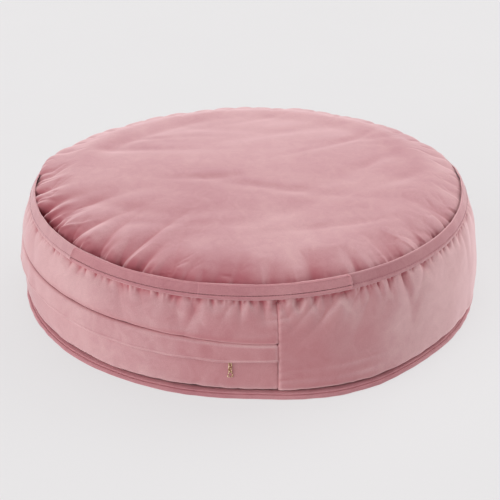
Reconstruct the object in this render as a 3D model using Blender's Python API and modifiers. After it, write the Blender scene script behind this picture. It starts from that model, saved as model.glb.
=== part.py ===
"""Round velvet floor cushion: a zipped boxed cover with two flat welts and a carry handle, over a filled pad.

Metres, +Z up. The origin is on the floor under the middle of the cushion and the front faces -Y.
Angles round the cushion are in degrees from the front, positive towards +X.
"""

import math

import bmesh
import bpy
from mathutils import Matrix, Vector

# Driving dimensions
SEAM_RADIUS = 0.325
EDGE_HEIGHT = 0.161
CROWN_HEIGHT = 0.185
BULGE_RADIUS = 0.341
BASE_RADIUS = 0.3345

VELVET = 0.0016
FLAP_THICKNESS = 0.0014
CASE_CLOTH = 0.0008
WELT_THICKNESS = 0.0026
STRAP_THICKNESS = 0.0030
STRAP_GAP = 0.0009

JOIN_ANGLE = 6.6
JOIN_GAP_ANGLE = 0.12
RING_STEPS = 60
PAD_STEPS = 40

HANDLE_MIDDLE = -11.5
HANDLE_HALF = 36.0
TAB_ANGLE = 4.6
TAB_GAP_ANGLE = 0.12

ZIP_HEIGHT = 0.071
SLIDER_ANGLE = -4.1
ZIP_END_GAP = 3.0
STOP_ANGLE = 0.7
TAPE_RADIUS = 0.3327
TAPE_THICKNESS = 0.0007
COIL_RADIUS = 0.3360
COIL_DEPTH = 0.0030
COIL_WIDTH = 0.0026
TAPE_WIDTH = 0.0122

PLATE_RADIUS = 0.3375
PLATE_THICKNESS = 0.0009
SLIDER_HALF_HEIGHT = 0.0046
SLIDER_WIDTH = 0.0090

WIRE = 0.0008
LINK_LENGTH = 0.0058
LINK_WIDTH = 0.0032
LINK_HANG = 0.0011
LINK_TWISTS = (56.0, -20.0, 38.0)
RING_TWIST = -34.0
PULL_LOOP_WIDTH = 0.0034
CHAIN_RADIUS = 0.3409
CHAIN_HEIGHT = 0.0563

CLEARANCE = 0.0003

# Colours and finishes
VELVET_COLOUR = (0.52, 0.27, 0.30, 1.0)
LINING_COLOUR = (0.80, 0.79, 0.77, 1.0)
TAPE_COLOUR = (0.45, 0.22, 0.25, 1.0)
GOLD_COLOUR = (0.85, 0.62, 0.30, 1.0)
FIBRE_COLOUR = (0.92, 0.92, 0.90, 1.0)


def clear_scene():
    for thing in list(bpy.data.objects):
        bpy.data.objects.remove(thing, do_unlink=True)


def make_material(name, colour, roughness, metallic=0.0):
    material = bpy.data.materials.new(name)
    material.use_nodes = True
    shader = material.node_tree.nodes["Principled BSDF"]
    shader.inputs["Base Color"].default_value = colour
    shader.inputs["Roughness"].default_value = roughness
    shader.inputs["Metallic"].default_value = metallic
    return material


def make_collection(name):
    collection = bpy.data.collections.new(name)
    bpy.context.scene.collection.children.link(collection)
    return collection


def add_object(name, data, material):
    piece = bpy.data.objects.new(name, data)
    data.materials.append(material)
    PARTS.objects.link(piece)
    return piece


def outward(angle):
    """Unit vector from the cushion's axis towards this angle."""
    turn = math.radians(angle)
    return Vector((math.sin(turn), -math.cos(turn), 0.0))


def tangent(angle):
    """Unit vector along the rim, the way angles grow."""
    turn = math.radians(angle)
    return Vector((math.cos(turn), math.sin(turn), 0.0))


def place(angle, radius, height):
    return outward(angle) * radius + Vector((0.0, 0.0, height))


def rim_frame(angle, radius, height):
    """Local axes at a place on the rim: X along the rim, Y inwards, Z up."""
    frame = Matrix.Identity(4)
    frame.col[0][:3] = tangent(angle)
    frame.col[1][:3] = -outward(angle)
    frame.col[3][:3] = place(angle, radius, height)
    return frame


# ---------------------------------------------------------------- turned pieces


def turn_profile(name, profile, material, start, sweep, steps):
    """An open profile of (radius, height) points, run down its outer side, turned about the axis."""
    mesh = bpy.data.meshes.new(name)
    points = [(radius, 0.0, height) for radius, height in profile]
    mesh.from_pydata(points, [(i, i + 1) for i in range(len(points) - 1)], [])
    piece = add_object(name, mesh, material)
    piece.rotation_euler.z = math.radians(start - 90.0)
    screw = piece.modifiers.new("Turn", "SCREW")
    screw.axis = "Z"
    screw.angle = math.radians(sweep)
    screw.steps = steps
    screw.render_steps = steps
    screw.use_merge_vertices = True
    screw.merge_threshold = 0.0001
    return piece


def turned_sheet(name, profile, thickness, material, start=JOIN_ANGLE, sweep=360.0, steps=RING_STEPS):
    """A sheet of even thickness whose outer face follows the turned profile."""
    piece = turn_profile(name, profile, material, start, sweep, steps)
    thicken = piece.modifiers.new("Thickness", "SOLIDIFY")
    thicken.thickness = thickness
    thicken.offset = -1.0
    thicken.use_even_offset = True
    return piece


def round_edges(piece, width):
    bevel = piece.modifiers.new("Rounded edges", "BEVEL")
    bevel.width = width
    bevel.segments = 2
    bevel.limit_method = "ANGLE"
    bevel.angle_limit = math.radians(40.0)


def half_turn(after_angle):
    """Start angle and sweep of a half-circumference panel that begins at this join seam."""
    return after_angle + JOIN_GAP_ANGLE, 180.0 - 2.0 * JOIN_GAP_ANGLE


def lean_line(top, bottom, offset, share_from=0.0, share_to=1.0):
    """Part of the straight line from top to bottom, moved outwards by offset along its normal."""
    top, bottom = Vector(top), Vector(bottom)
    run = bottom - top
    normal = Vector((-run.y, run.x)).normalized()
    ends = (top + run * share_from, top + run * share_to)
    return [tuple(end + normal * offset) for end in ends]


# ---------------------------------------------------------------- cover panels

# Outer faces as (radius, height), from the top down.
DOME_PROFILE = (
    (0.0, CROWN_HEIGHT),
    (0.090, 0.1838),
    (0.170, 0.1800),
    (0.230, 0.1745),
    (0.270, 0.1697),
    (0.295, 0.1650),
    (0.308, 0.1597),
    (0.316, 0.1530),
    (0.3205, 0.1465),
)
PLAIN_PROFILE = (
    (SEAM_RADIUS, 0.1440),
    (0.3310, 0.1300),
    (0.3362, 0.1100),
    (0.3392, 0.0900),
    (0.3406, 0.0720),
    (BULGE_RADIUS, 0.0550),
    (0.3402, 0.0380),
    (0.3380, 0.0230),
    (BASE_RADIUS, 0.0120),
)
ABOVE_ZIP_PROFILE = (
    (SEAM_RADIUS, 0.1440),
    (0.3310, 0.1300),
    (0.3362, 0.1100),
    (0.3390, 0.0930),
    (0.3386, 0.0870),
    (0.3366, 0.0838),
)
BELOW_ZIP_PROFILE = (
    (0.3362, 0.0640),
    (0.3380, 0.0585),
    (0.3388, 0.0530),
    (0.3389, 0.0400),
    (0.3374, 0.0240),
    (BASE_RADIUS, 0.0120),
)
FLAP_PROFILE = (
    (0.3374, 0.0818),
    (0.3404, 0.0790),
    (0.3416, 0.0745),
    (0.3422, 0.0680),
    (0.3432, 0.0588),
)
BOTTOM_PROFILE = (
    (0.3312, 0.0052),
    (0.3255, 0.0018),
    (0.3150, 0.0),
    (0.0, 0.0),
)


def make_cover_panels():
    turned_sheet("top_panel", DOME_PROFILE, VELVET, velvet)
    turned_sheet("bottom_panel", BOTTOM_PROFILE, VELVET, velvet)
    start, sweep = half_turn(JOIN_ANGLE)
    turned_sheet("side_band_plain", PLAIN_PROFILE, VELVET, velvet, start, sweep, RING_STEPS // 2)
    start, sweep = half_turn(JOIN_ANGLE - 180.0)
    turned_sheet("side_band_above_zip", ABOVE_ZIP_PROFILE, VELVET, velvet, start, sweep, RING_STEPS // 2)
    turned_sheet("side_band_below_zip", BELOW_ZIP_PROFILE, VELVET, velvet, start, sweep, RING_STEPS // 2)
    turned_sheet("zip_flap", FLAP_PROFILE, FLAP_THICKNESS, velvet, start, sweep, RING_STEPS // 2)


# Folded strips sewn into the seams: the top one stands up, the base one hangs down and out.
TOP_WELT_TOP = (0.3185, EDGE_HEIGHT)
TOP_WELT_FOOT = (0.3262, 0.1466)
BASE_WELT_TOP = (0.3340, 0.0106)
BASE_WELT_FOOT = (0.3412, 0.0030)


def make_welts():
    turned_sheet("top_welt", (TOP_WELT_TOP, TOP_WELT_FOOT), WELT_THICKNESS, velvet)
    turned_sheet("base_welt", (BASE_WELT_TOP, BASE_WELT_FOOT), VELVET, velvet)


# ---------------------------------------------------------------- carry handle

STRAP_DROP_SHARE = 1.16


def strap_profile():
    return lean_line(TOP_WELT_TOP, TOP_WELT_FOOT, STRAP_GAP + STRAP_THICKNESS, 0.0, STRAP_DROP_SHARE)


def strap_arc(name, start, end):
    steps = max(1, round((end - start) / 5.0))
    piece = turned_sheet(name, strap_profile(), STRAP_THICKNESS, velvet, start, end - start, steps)
    round_edges(piece, 0.0007)
    return piece


def make_handle():
    """Strap lying along the front of the top welt; its two ends are sewn down and the middle lifts."""
    left, right = HANDLE_MIDDLE - HANDLE_HALF, HANDLE_MIDDLE + HANDLE_HALF
    strap_arc("handle_tab_left", left, left + TAB_ANGLE)
    strap_arc("handle_tab_right", right - TAB_ANGLE, right)
    free_half = HANDLE_HALF - TAB_ANGLE - TAB_GAP_ANGLE
    strap = strap_arc("carry_handle", HANDLE_MIDDLE - free_half, HANDLE_MIDDLE + free_half)
    hinge_radius, hinge_height = lean_line(TOP_WELT_TOP, TOP_WELT_FOOT, STRAP_GAP)[0]
    chord = hinge_radius * math.cos(math.radians(free_half))
    hang_on(strap, add_hinge("handle_lift_axis", HANDLE_MIDDLE, chord, hinge_height))


# ---------------------------------------------------------------- hinges


def add_hinge(name, angle, radius, height):
    """Empty on a joint's axis, with its X along the rim there."""
    hinge = bpy.data.objects.new(name, None)
    hinge.matrix_world = rim_frame(angle, radius, height)
    hinge.empty_display_size = 0.01
    PARTS.objects.link(hinge)
    return hinge


def hang_on(piece, hinge):
    piece.parent = hinge
    piece.matrix_parent_inverse = hinge.matrix_world.inverted()


# ---------------------------------------------------------------- zip


def make_zip():
    """Two tapes with their coils behind the flap, and a stop at each end."""
    first = JOIN_ANGLE - 180.0 + ZIP_END_GAP
    sweep = 180.0 - 2.0 * ZIP_END_GAP
    steps = RING_STEPS // 2
    for name, side in (("upper", 1.0), ("lower", -1.0)):
        edge = ZIP_HEIGHT + side * CLEARANCE
        tape = sorted((edge, edge + side * TAPE_WIDTH), reverse=True)
        coil = sorted((edge, edge + side * COIL_WIDTH), reverse=True)
        tape_profile = [(TAPE_RADIUS, height) for height in tape]
        coil_profile = [(COIL_RADIUS, height) for height in coil]
        turned_sheet("zip_tape_" + name, tape_profile, TAPE_THICKNESS, tape_cloth, first, sweep, steps)
        inset = 2.0 * STOP_ANGLE
        turned_sheet(
            "zip_coil_" + name, coil_profile, COIL_DEPTH, coil_nylon, first + inset, sweep - 2.0 * inset, steps
        )
    stop_half = COIL_WIDTH + 2.0 * CLEARANCE
    stop_profile = ((COIL_RADIUS, ZIP_HEIGHT + stop_half), (COIL_RADIUS, ZIP_HEIGHT - stop_half))
    for name, start in (("zip_bottom_stop", first), ("zip_top_stop", first + sweep - STOP_ANGLE)):
        turned_sheet(name, stop_profile, COIL_DEPTH, coil_nylon, start, STOP_ANGLE, 1)


def make_slider():
    """Channel over the coils, a wire bridge on its face and the long pull loop that hangs from it."""
    lip = PLATE_RADIUS - 0.0023
    section = (
        (lip, SLIDER_HALF_HEIGHT),
        (PLATE_RADIUS, SLIDER_HALF_HEIGHT),
        (PLATE_RADIUS, -SLIDER_HALF_HEIGHT),
        (lip, -SLIDER_HALF_HEIGHT),
    )
    shape = bmesh.new()
    row = [
        shape.verts.new((-SLIDER_WIDTH / 2.0, PLATE_RADIUS - radius, height)) for radius, height in section
    ]
    edges = [shape.edges.new(pair) for pair in zip(row, row[1:])]
    grown = bmesh.ops.extrude_edge_only(shape, edges=edges)["geom"]
    moved = [item for item in grown if isinstance(item, bmesh.types.BMVert)]
    bmesh.ops.translate(shape, verts=moved, vec=(SLIDER_WIDTH, 0.0, 0.0))
    bmesh.ops.recalc_face_normals(shape, faces=shape.faces)
    front = min(shape.faces, key=lambda face: face.calc_center_median().y)
    if front.normal.y > 0.0:
        bmesh.ops.reverse_faces(shape, faces=shape.faces)
    mesh = bpy.data.meshes.new("zip_slider")
    shape.to_mesh(mesh)
    shape.free()
    slider = add_object("zip_slider", mesh, gold)
    slider.matrix_world = rim_frame(SLIDER_ANGLE, PLATE_RADIUS, ZIP_HEIGHT)
    thicken = slider.modifiers.new("Thickness", "SOLIDIFY")
    thicken.thickness = PLATE_THICKNESS
    thicken.offset = -1.0
    thicken.use_even_offset = True
    round_edges(slider, 0.00025)
    return slider


def wire_object(name, points, closed, wire, material):
    """A bent wire through these points, in metres."""
    curve = bpy.data.curves.new(name, "CURVE")
    curve.dimensions = "3D"
    curve.bevel_depth = wire / 2.0
    curve.bevel_resolution = 1
    curve.use_fill_caps = not closed
    spline = curve.splines.new("POLY")
    spline.points.add(len(points) - 1)
    for point, place_at in zip(spline.points, points):
        point.co = (*place_at, 1.0)
    spline.use_cyclic_u = closed
    spline.use_smooth = True
    return add_object(name, curve, material)


def make_bridge():
    """Wire staple standing on the slider's face, with its ends just clear of it."""
    foot = PLATE_RADIUS + CLEARANCE
    reach = foot + WIRE + 0.0006
    upper, lower = ZIP_HEIGHT + 0.0026, ZIP_HEIGHT - 0.0042
    outline = (
        (foot, upper),
        (reach - 0.0005, upper - 0.0001),
        (reach, upper - 0.0006),
        (reach, lower + 0.0006),
        (reach - 0.0005, lower + 0.0001),
        (foot, lower),
    )
    points = [place(SLIDER_ANGLE, radius, height) for radius, height in outline]
    return wire_object("slider_bridge", points, False, WIRE, gold)


def stadium(length, width, count=7):
    """Centre line of an oblong link: (across, along) points, with the link's top at along = 0."""
    half = width / 2.0
    top, bottom = [], []
    for step in range(count):
        turn = math.pi * step / (count - 1)
        top.append((half * math.cos(turn), -half + half * math.sin(turn)))
        bottom.append((-half * math.cos(turn), half - length - half * math.sin(turn)))
    return top + bottom


def make_pull_loop():
    """Long thin loop under the bridge, leaning out to come clear of the flap's edge."""
    top_radius = PLATE_RADIUS + CLEARANCE + WIRE / 2.0
    top_height = ZIP_HEIGHT + 0.0008
    length = top_height - CHAIN_HEIGHT
    slope = (CHAIN_RADIUS - top_radius) / length
    points = []
    for across, along in stadium(length, PULL_LOOP_WIDTH):
        spot = place(SLIDER_ANGLE, top_radius - slope * along, top_height + along)
        points.append(spot + tangent(SLIDER_ANGLE) * across)
    return wire_object("pull_loop", points, True, WIRE, gold)


def pull_ring_outline():
    """Rounded triangle, narrow at the top."""
    corners = ((0.0, -0.0015, 0.0015), (-0.0020, -0.0057, 0.0010), (0.0020, -0.0057, 0.0010))
    points = []
    for number, (across, along, radius) in enumerate(corners):
        middle = math.radians(90.0 + 120.0 * number)
        for step in range(5):
            turn = middle + math.radians(-60.0 + 30.0 * step)
            points.append((across + radius * math.cos(turn), along + radius * math.sin(turn)))
    return points


def hung_outline(outline, top_height, twist):
    """World points of a link whose top is at this height on the chain, turned about the vertical."""
    turn = math.radians(twist)
    points = []
    for across, along in outline:
        spot = place(SLIDER_ANGLE, CHAIN_RADIUS + across * math.sin(turn), top_height + along)
        points.append(spot + tangent(SLIDER_ANGLE) * across * math.cos(turn))
    return points


def make_slider_and_pull():
    """Slider, pull loop, three links and an end ring, each link hinged where it hangs."""
    travel = add_hinge("zip_travel_axis", 0.0, 0.0, ZIP_HEIGHT)
    for piece in (make_slider(), make_bridge(), make_pull_loop()):
        hang_on(piece, travel)
    parent = travel
    height = CHAIN_HEIGHT
    for number, twist in enumerate(LINK_TWISTS, 1):
        hinge = add_hinge(f"chain_link_{number}_axis", SLIDER_ANGLE, CHAIN_RADIUS, height + LINK_HANG / 2.0)
        hang_on(hinge, parent)
        outline = hung_outline(stadium(LINK_LENGTH, LINK_WIDTH), height + LINK_HANG, twist)
        hang_on(wire_object(f"chain_link_{number}", outline, True, WIRE, gold), hinge)
        parent = hinge
        height += LINK_HANG - LINK_LENGTH
    hinge = add_hinge("pull_ring_axis", SLIDER_ANGLE, CHAIN_RADIUS, height + LINK_HANG / 2.0)
    hang_on(hinge, parent)
    outline = hung_outline(pull_ring_outline(), height + LINK_HANG, RING_TWIST)
    hang_on(wire_object("pull_ring", outline, True, WIRE, gold), hinge)


# ---------------------------------------------------------------- inner pad

CASE_TOP_PROFILE = (
    (0.0, CROWN_HEIGHT - 0.0022),
    (0.090, 0.1815),
    (0.170, 0.1776),
    (0.230, 0.1720),
    (0.270, 0.1670),
    (0.298, 0.1605),
    (0.3125, 0.1500),
    (0.3170, 0.1430),
)
CASE_SIDE_PROFILE = (
    (0.3175, 0.1424),
    (0.3240, 0.1290),
    (0.3285, 0.1100),
    (0.3300, 0.0950),
    (0.3300, 0.0500),
    (0.3290, 0.0250),
    (0.3240, 0.0092),
)
CASE_BOTTOM_PROFILE = (
    (0.3235, 0.0086),
    (0.3170, 0.0036),
    (0.3080, 0.0023),
    (0.0, 0.0023),
)


def inset(profile, distance):
    """The profile moved towards the inside of the pad, its ends staying on the axis if they were on it."""
    moved = []
    for number, (radius, height) in enumerate(profile):
        before = profile[max(0, number - 1)]
        after = profile[min(len(profile) - 1, number + 1)]
        run = Vector((after[0] - before[0], after[1] - before[1])).normalized()
        in_radius, in_height = radius + run.y * distance, height - run.x * distance
        moved.append((0.0 if radius == 0.0 else in_radius, in_height))
    return moved


def make_inner_pad():
    """Loose pad that the cover zips over: a sewn non-woven case, packed with fibre."""
    turned_sheet("inner_case_top", CASE_TOP_PROFILE, CASE_CLOTH, case_cloth, steps=PAD_STEPS)
    turned_sheet("inner_case_side", CASE_SIDE_PROFILE, CASE_CLOTH, case_cloth, steps=PAD_STEPS)
    turned_sheet("inner_case_bottom", CASE_BOTTOM_PROFILE, CASE_CLOTH, case_cloth, steps=PAD_STEPS)
    whole = CASE_TOP_PROFILE[:-1] + CASE_SIDE_PROFILE[1:-1] + CASE_BOTTOM_PROFILE[1:]
    turn_profile("fibre_fill", inset(whole, CASE_CLOTH + 0.0006), fibre, JOIN_ANGLE, 360.0, PAD_STEPS)


clear_scene()
PARTS = make_collection("floor_cushion")
velvet = make_material("velvet", VELVET_COLOUR, 0.85)
tape_cloth = make_material("zip_tape", TAPE_COLOUR, 0.80)
coil_nylon = make_material("zip_coil", TAPE_COLOUR, 0.45)
gold = make_material("gold_plated_metal", GOLD_COLOUR, 0.25, 1.0)
case_cloth = make_material("inner_case_cloth", LINING_COLOUR, 0.90)
fibre = make_material("polyester_fibre", FIBRE_COLOUR, 1.0)

make_cover_panels()
make_welts()
make_handle()
make_zip()
make_slider_and_pull()
make_inner_pad()
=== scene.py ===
import math

import bpy
import numpy as np
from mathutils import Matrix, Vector


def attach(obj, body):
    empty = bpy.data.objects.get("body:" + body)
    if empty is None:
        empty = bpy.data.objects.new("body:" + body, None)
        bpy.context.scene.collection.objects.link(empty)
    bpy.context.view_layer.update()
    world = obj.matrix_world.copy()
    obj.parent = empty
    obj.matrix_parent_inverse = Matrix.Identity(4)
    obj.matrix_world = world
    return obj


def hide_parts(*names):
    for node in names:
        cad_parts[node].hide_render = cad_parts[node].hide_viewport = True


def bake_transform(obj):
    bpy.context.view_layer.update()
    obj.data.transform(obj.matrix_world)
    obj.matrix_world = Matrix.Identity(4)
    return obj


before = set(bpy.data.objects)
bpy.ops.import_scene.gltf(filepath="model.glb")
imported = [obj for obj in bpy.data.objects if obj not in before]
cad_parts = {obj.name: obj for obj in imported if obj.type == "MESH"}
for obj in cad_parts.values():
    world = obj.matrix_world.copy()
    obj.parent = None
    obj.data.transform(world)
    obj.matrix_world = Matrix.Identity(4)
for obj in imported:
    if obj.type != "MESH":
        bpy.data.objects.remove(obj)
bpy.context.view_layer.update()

# Looks of the round velvet floor cushion, built round the CAD frame. Metres, +Z up, the front faces -Y.
# Angles round the cushion are in degrees from the front, positive towards +X.

# --- shared dimensions, as in the CAD source, and the chain's, which is a little fuller than there

SEAM_RADIUS = 0.325
DEGREE = math.radians(1.0) * SEAM_RADIUS  # metres along the seam in one degree
JOIN_ANGLE = 6.6
HANDLE_MIDDLE = -11.5
HANDLE_HALF = 36.0
TAB_ANGLE = 4.6
ZIP_HEIGHT = 0.071
SLIDER_ANGLE = -4.1
ZIP_END_GAP = 3.0
TAPE_RADIUS = 0.3327
PLATE_RADIUS = 0.3375
CHAIN_RADIUS = 0.3409
CHAIN_HEIGHT = 0.0563
CLEARANCE = 0.0003

WIRE = 0.0011
LINK_LENGTH = 0.0063
LINK_WIDTH = 0.0046
LINK_HANG = 0.0016  # how far a link's top is above the joint that it hangs from
LINK_TWISTS = (38.0, -38.0, 36.0)
RING_TWIST = -14.0
PULL_LOOP_WIDTH = 0.0034

VELVET = 0.0016  # thickness of the cloth
TURN_COLUMNS = 1440
HALF_COLUMNS = 720

# --- numbers


def smoothstep(value):
    share = np.clip(value, 0.0, 1.0)
    return share * share * (3.0 - 2.0 * share)


def bell(away, width, power=2):
    return np.exp(-((away / width) ** power))


def plateau(share):
    """A half wave: nothing at both ends of a strip, most in its middle."""
    return np.sin(np.pi * np.clip(share, 0.0, 1.0))


def by_angle(angle, table):
    """A quantity given at some angles (degrees, value), read off smoothly at others, round the whole turn."""
    known, value = np.array(table, float).T
    return np.interp((angle + 180.0) % 360.0 - 180.0, known, value, period=360.0)


def by_share(share, table):
    """A quantity given at some places (place, value), read off at others."""
    known, value = np.array(table, float).T
    return np.interp(share, known, value)


def turn_noise(angle, seed, low, high):
    """Smooth noise round the rim, about -1 to 1, with between low and high waves per turn."""
    rng = np.random.default_rng(seed)
    waves = np.arange(low, high + 1)
    phase = rng.uniform(0.0, 2.0 * np.pi, len(waves))
    size = rng.uniform(0.4, 1.0, len(waves))
    total = (size * np.sin(np.radians(angle)[..., None] * waves + phase)).sum(-1)
    return total / (0.9 * math.sqrt(len(waves)))


def smooth_line(points, per_piece=24):
    """A smooth curve through the points, as many short steps."""
    known = np.array(points, float)
    before = np.vstack((2.0 * known[:1] - known[1:2], known[:-1]))
    after = np.vstack((known[1:], 2.0 * known[-1:] - known[-2:-1]))
    gap_before = np.linalg.norm(known - before, axis=1)[:, None]
    gap_after = np.linalg.norm(after - known, axis=1)[:, None]
    slope = ((known - before) / gap_before * gap_after + (after - known) / gap_after * gap_before)
    slope /= gap_before + gap_after
    parts = []
    share = np.linspace(0.0, 1.0, per_piece, endpoint=False)[:, None]
    for start in range(len(known) - 1):
        gap = np.linalg.norm(known[start + 1] - known[start])
        h1 = 2 * share**3 - 3 * share**2 + 1
        h2 = share**3 - 2 * share**2 + share
        h3 = -2 * share**3 + 3 * share**2
        h4 = share**3 - share**2
        parts.append(
            h1 * known[start] + h2 * gap * slope[start] + h3 * known[start + 1] + h4 * gap * slope[start + 1]
        )
    return np.vstack(parts + [known[-1:]])


class Profile:
    """A curve of (radius, height) that can be read at any distance along it."""

    def __init__(self, points):
        self.line = smooth_line(points)
        step = np.linalg.norm(np.diff(self.line, axis=0), axis=1)
        self.along = np.concatenate(([0.0], np.cumsum(step)))
        self.length = self.along[-1]

    def at(self, distance):
        """Points and unit normals (to the left of the way the curve runs) at these distances."""
        spot = np.stack([np.interp(distance, self.along, self.line[:, k]) for k in (0, 1)], axis=-1)
        ahead = np.clip(distance + 0.0008, 0.0, self.length)
        behind = np.clip(distance - 0.0008, 0.0, self.length)
        run = np.stack(
            [np.interp(ahead, self.along, self.line[:, k]) - np.interp(behind, self.along, self.line[:, k])
             for k in (0, 1)], axis=-1)
        run /= np.linalg.norm(run, axis=-1, keepdims=True)
        return spot, np.stack((-run[..., 1], run[..., 0]), axis=-1)


def spaced(*parts):
    """Distances made of stretches: each part is (end, step), going on from the end of the one before."""
    start, marks = 0.0, [np.array([0.0])]
    for end, step in parts:
        count = max(1, round((end - start) / step))
        marks.append(np.linspace(start, end, count + 1)[1:])
        start = end
    return np.concatenate(marks)


# --- settling of the whole cushion

BACK_SAG = 0.077
SIDE_SAG = 0.032
SAG_FROM, SAG_RUN = -0.02, 0.33


def settle(points):
    """The filling gives at the back, most at its left, so everything there stands a little lower."""
    points = np.array(points, float)
    lower = smoothstep((points[..., 1] - SAG_FROM) / SAG_RUN)
    left = smoothstep(0.5 - points[..., 0] / 0.4)
    points[..., 2] *= 1.0 - (BACK_SAG + SIDE_SAG * left) * lower
    return points


def lathe(angle, radius, height):
    """Points at these angles (degrees), radii and heights, which broadcast together."""
    angle, radius, height = np.broadcast_arrays(angle, radius, height)
    turn = np.radians(angle)
    return np.stack((radius * np.sin(turn), -radius * np.cos(turn), height), axis=-1)


def outward(angle):
    """Level directions straight out from the axis at these angles (degrees)."""
    turn = np.radians(angle)
    return np.stack((np.sin(turn), -np.cos(turn), 0.0 * turn), axis=-1)


def tangent(angle):
    """Level directions along the rim, to the right seen from outside, at these angles (degrees)."""
    turn = np.radians(angle)
    return np.stack((np.cos(turn), np.sin(turn), 0.0 * turn), axis=-1)


def from_ends(angle):
    """How far (metres) each column is from the nearer end of its run."""
    return np.minimum(angle - angle[0], angle[-1] - angle) * DEGREE


def turned(points, turn):
    """The points moved round the cushion by these angles (radians)."""
    x, y = points[..., 0], points[..., 1]
    cos, sin = np.cos(turn), np.sin(turn)
    return np.stack((x * cos - y * sin, y * cos + x * sin, points[..., 2]), axis=-1)


def turn_angles(start, sweep, columns, closed):
    return start + np.arange(columns) * (sweep / (columns if closed else columns - 1))


# --- meshes


def loop_faces(columns, rows, closed, start=0):
    """Quads between closed cross-sections of this many rows, and end caps if the run isn't closed."""
    index = start + np.arange(columns * rows).reshape(columns, rows)
    here = index if closed else index[:-1]
    there = np.roll(index, -1, axis=0) if closed else index[1:]
    quads = np.stack((here, np.roll(here, -1, axis=1), np.roll(there, -1, axis=1), there), axis=-1)
    faces = quads.reshape(-1, 4).tolist()
    if not closed:
        faces += [index[0][::-1].tolist(), index[-1].tolist()]
    return faces


def enclosed(points, faces):
    """Signed volume, from quads only."""
    quads = np.array([face for face in faces if len(face) == 4])
    a, b, c, d = (points[quads[:, k]] for k in range(4))
    middle = points.mean(0)
    a, b, c, d = a - middle, b - middle, c - middle, d - middle
    return (np.cross(a, b) * c).sum() + (np.cross(a, c) * d).sum()


def make_piece(name, points, faces, materials, face_material=None, crisp=50.0, shade=None):
    """One mesh object. `shade`, 0 to 1 at each point, is how much painted shade darkens its colour there."""
    points = np.asarray(points, float).reshape(-1, 3)
    if enclosed(points, faces) < 0.0:
        faces = [face[::-1] for face in faces]
    mesh = bpy.data.meshes.new(name)
    mesh.from_pydata(points.tolist(), [], faces)
    mesh.polygons.foreach_set("use_smooth", [True] * len(mesh.polygons))
    if crisp:
        mesh.set_sharp_from_angle(angle=math.radians(crisp))
    for material in materials:
        mesh.materials.append(material)
    if face_material is not None:
        mesh.polygons.foreach_set("material_index", face_material)
    if shade is not None:
        # Painted shade, stored on the points for the velvet materials to darken by.
        painted_shade = mesh.attributes.new("painted_shade", "FLOAT", "POINT")
        painted_shade.data.foreach_set("value", np.asarray(shade, float).ravel())
    mesh.update()
    piece = bpy.data.objects.new(name, mesh)
    bpy.context.scene.collection.objects.link(piece)
    return piece


def finish_piece(piece, body, slot, *stands_for):
    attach(piece, body)
    if stands_for:
        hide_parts(*stands_for)


def loop_piece(name, sections, closed, materials, **options):
    """A closed solid through closed cross-sections (columns, rows, 3)."""
    columns, rows = sections.shape[:2]
    return make_piece(name, sections, loop_faces(columns, rows, closed), materials, **options)


def disc_piece(name, rings, materials, **options):
    """A closed solid from a stack of closed rings. Neighbours have the same count, or half or twice as many.
    The first and the last ring are closed by one point each. A list of rings as `shade` goes with them."""
    if options.get("shade"):
        options["shade"] = np.concatenate(options["shade"] + [np.zeros(2)])
    points, faces = list(rings), []
    *starts, start = np.cumsum([0] + [len(ring) for ring in rings]).tolist()
    for (first, a), (second, b) in zip(zip(starts, rings), zip(starts[1:], rings[1:])):
        many, few = max(len(a), len(b)), min(len(a), len(b))
        if many == few:
            here = np.arange(many)
            there = np.roll(here, -1)
            quads = np.stack((first + here, first + there, second + there, second + here), axis=-1)
            faces += quads.tolist()
        else:
            fine, coarse = (first, second) if len(a) == many else (second, first)
            step = np.arange(few)
            after = (step + 1) % few
            even, odd, next_even = 2 * step, 2 * step + 1, (2 * step + 2) % many
            fans = np.concatenate((
                np.stack((fine + even, fine + odd, coarse + step), axis=-1),
                np.stack((fine + odd, coarse + after, coarse + step), axis=-1),
                np.stack((fine + odd, fine + next_even, coarse + after), axis=-1),
            ))
            if fine == second:
                fans = fans[:, ::-1]
            faces += fans.tolist()
    for first, ring, outwards in ((starts[0], rings[0], False), (starts[-1], rings[-1], True)):
        here = first + np.arange(len(ring))
        there = first + np.roll(np.arange(len(ring)), -1)
        pole = np.full(len(ring), start)
        fan = np.stack((here, there, pole) if outwards else (there, here, pole), axis=-1)
        faces += fan.tolist()
        points.append(ring.mean(0, keepdims=True))
        start += 1
    return make_piece(name, np.vstack(points), faces, materials, **options)


# --- creases and gathers


def gathers(seed, spacing, depth, width, reach, where=None, slant=0.12, spread=1.2, jitter=0.38, share=1.0):
    """Creases that start at a seam about every `spacing` metres. Each is a row: angle, depth, width, reach,
    slant, spread."""
    rng = np.random.default_rng(seed)
    count = round(2.0 * np.pi * SEAM_RADIUS / spacing)
    angle = (np.arange(count) + rng.uniform(-jitter, jitter, count)) * 360.0 / count - 180.0
    strength = np.ones(count) if where is None else by_angle(angle, where)
    kept = rng.uniform(0.0, 1.0, count) < share
    rows = np.stack((
        angle,
        depth * strength * rng.uniform(0.45, 1.35, count),
        width * rng.uniform(0.7, 1.35, count),
        reach * rng.uniform(0.55, 1.45, count) * (0.6 + 0.4 * np.minimum(strength, 1.2)),
        rng.normal(0.0, slant, count),
        np.full(count, spread),
    ), axis=-1)
    return rows[kept]


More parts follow.
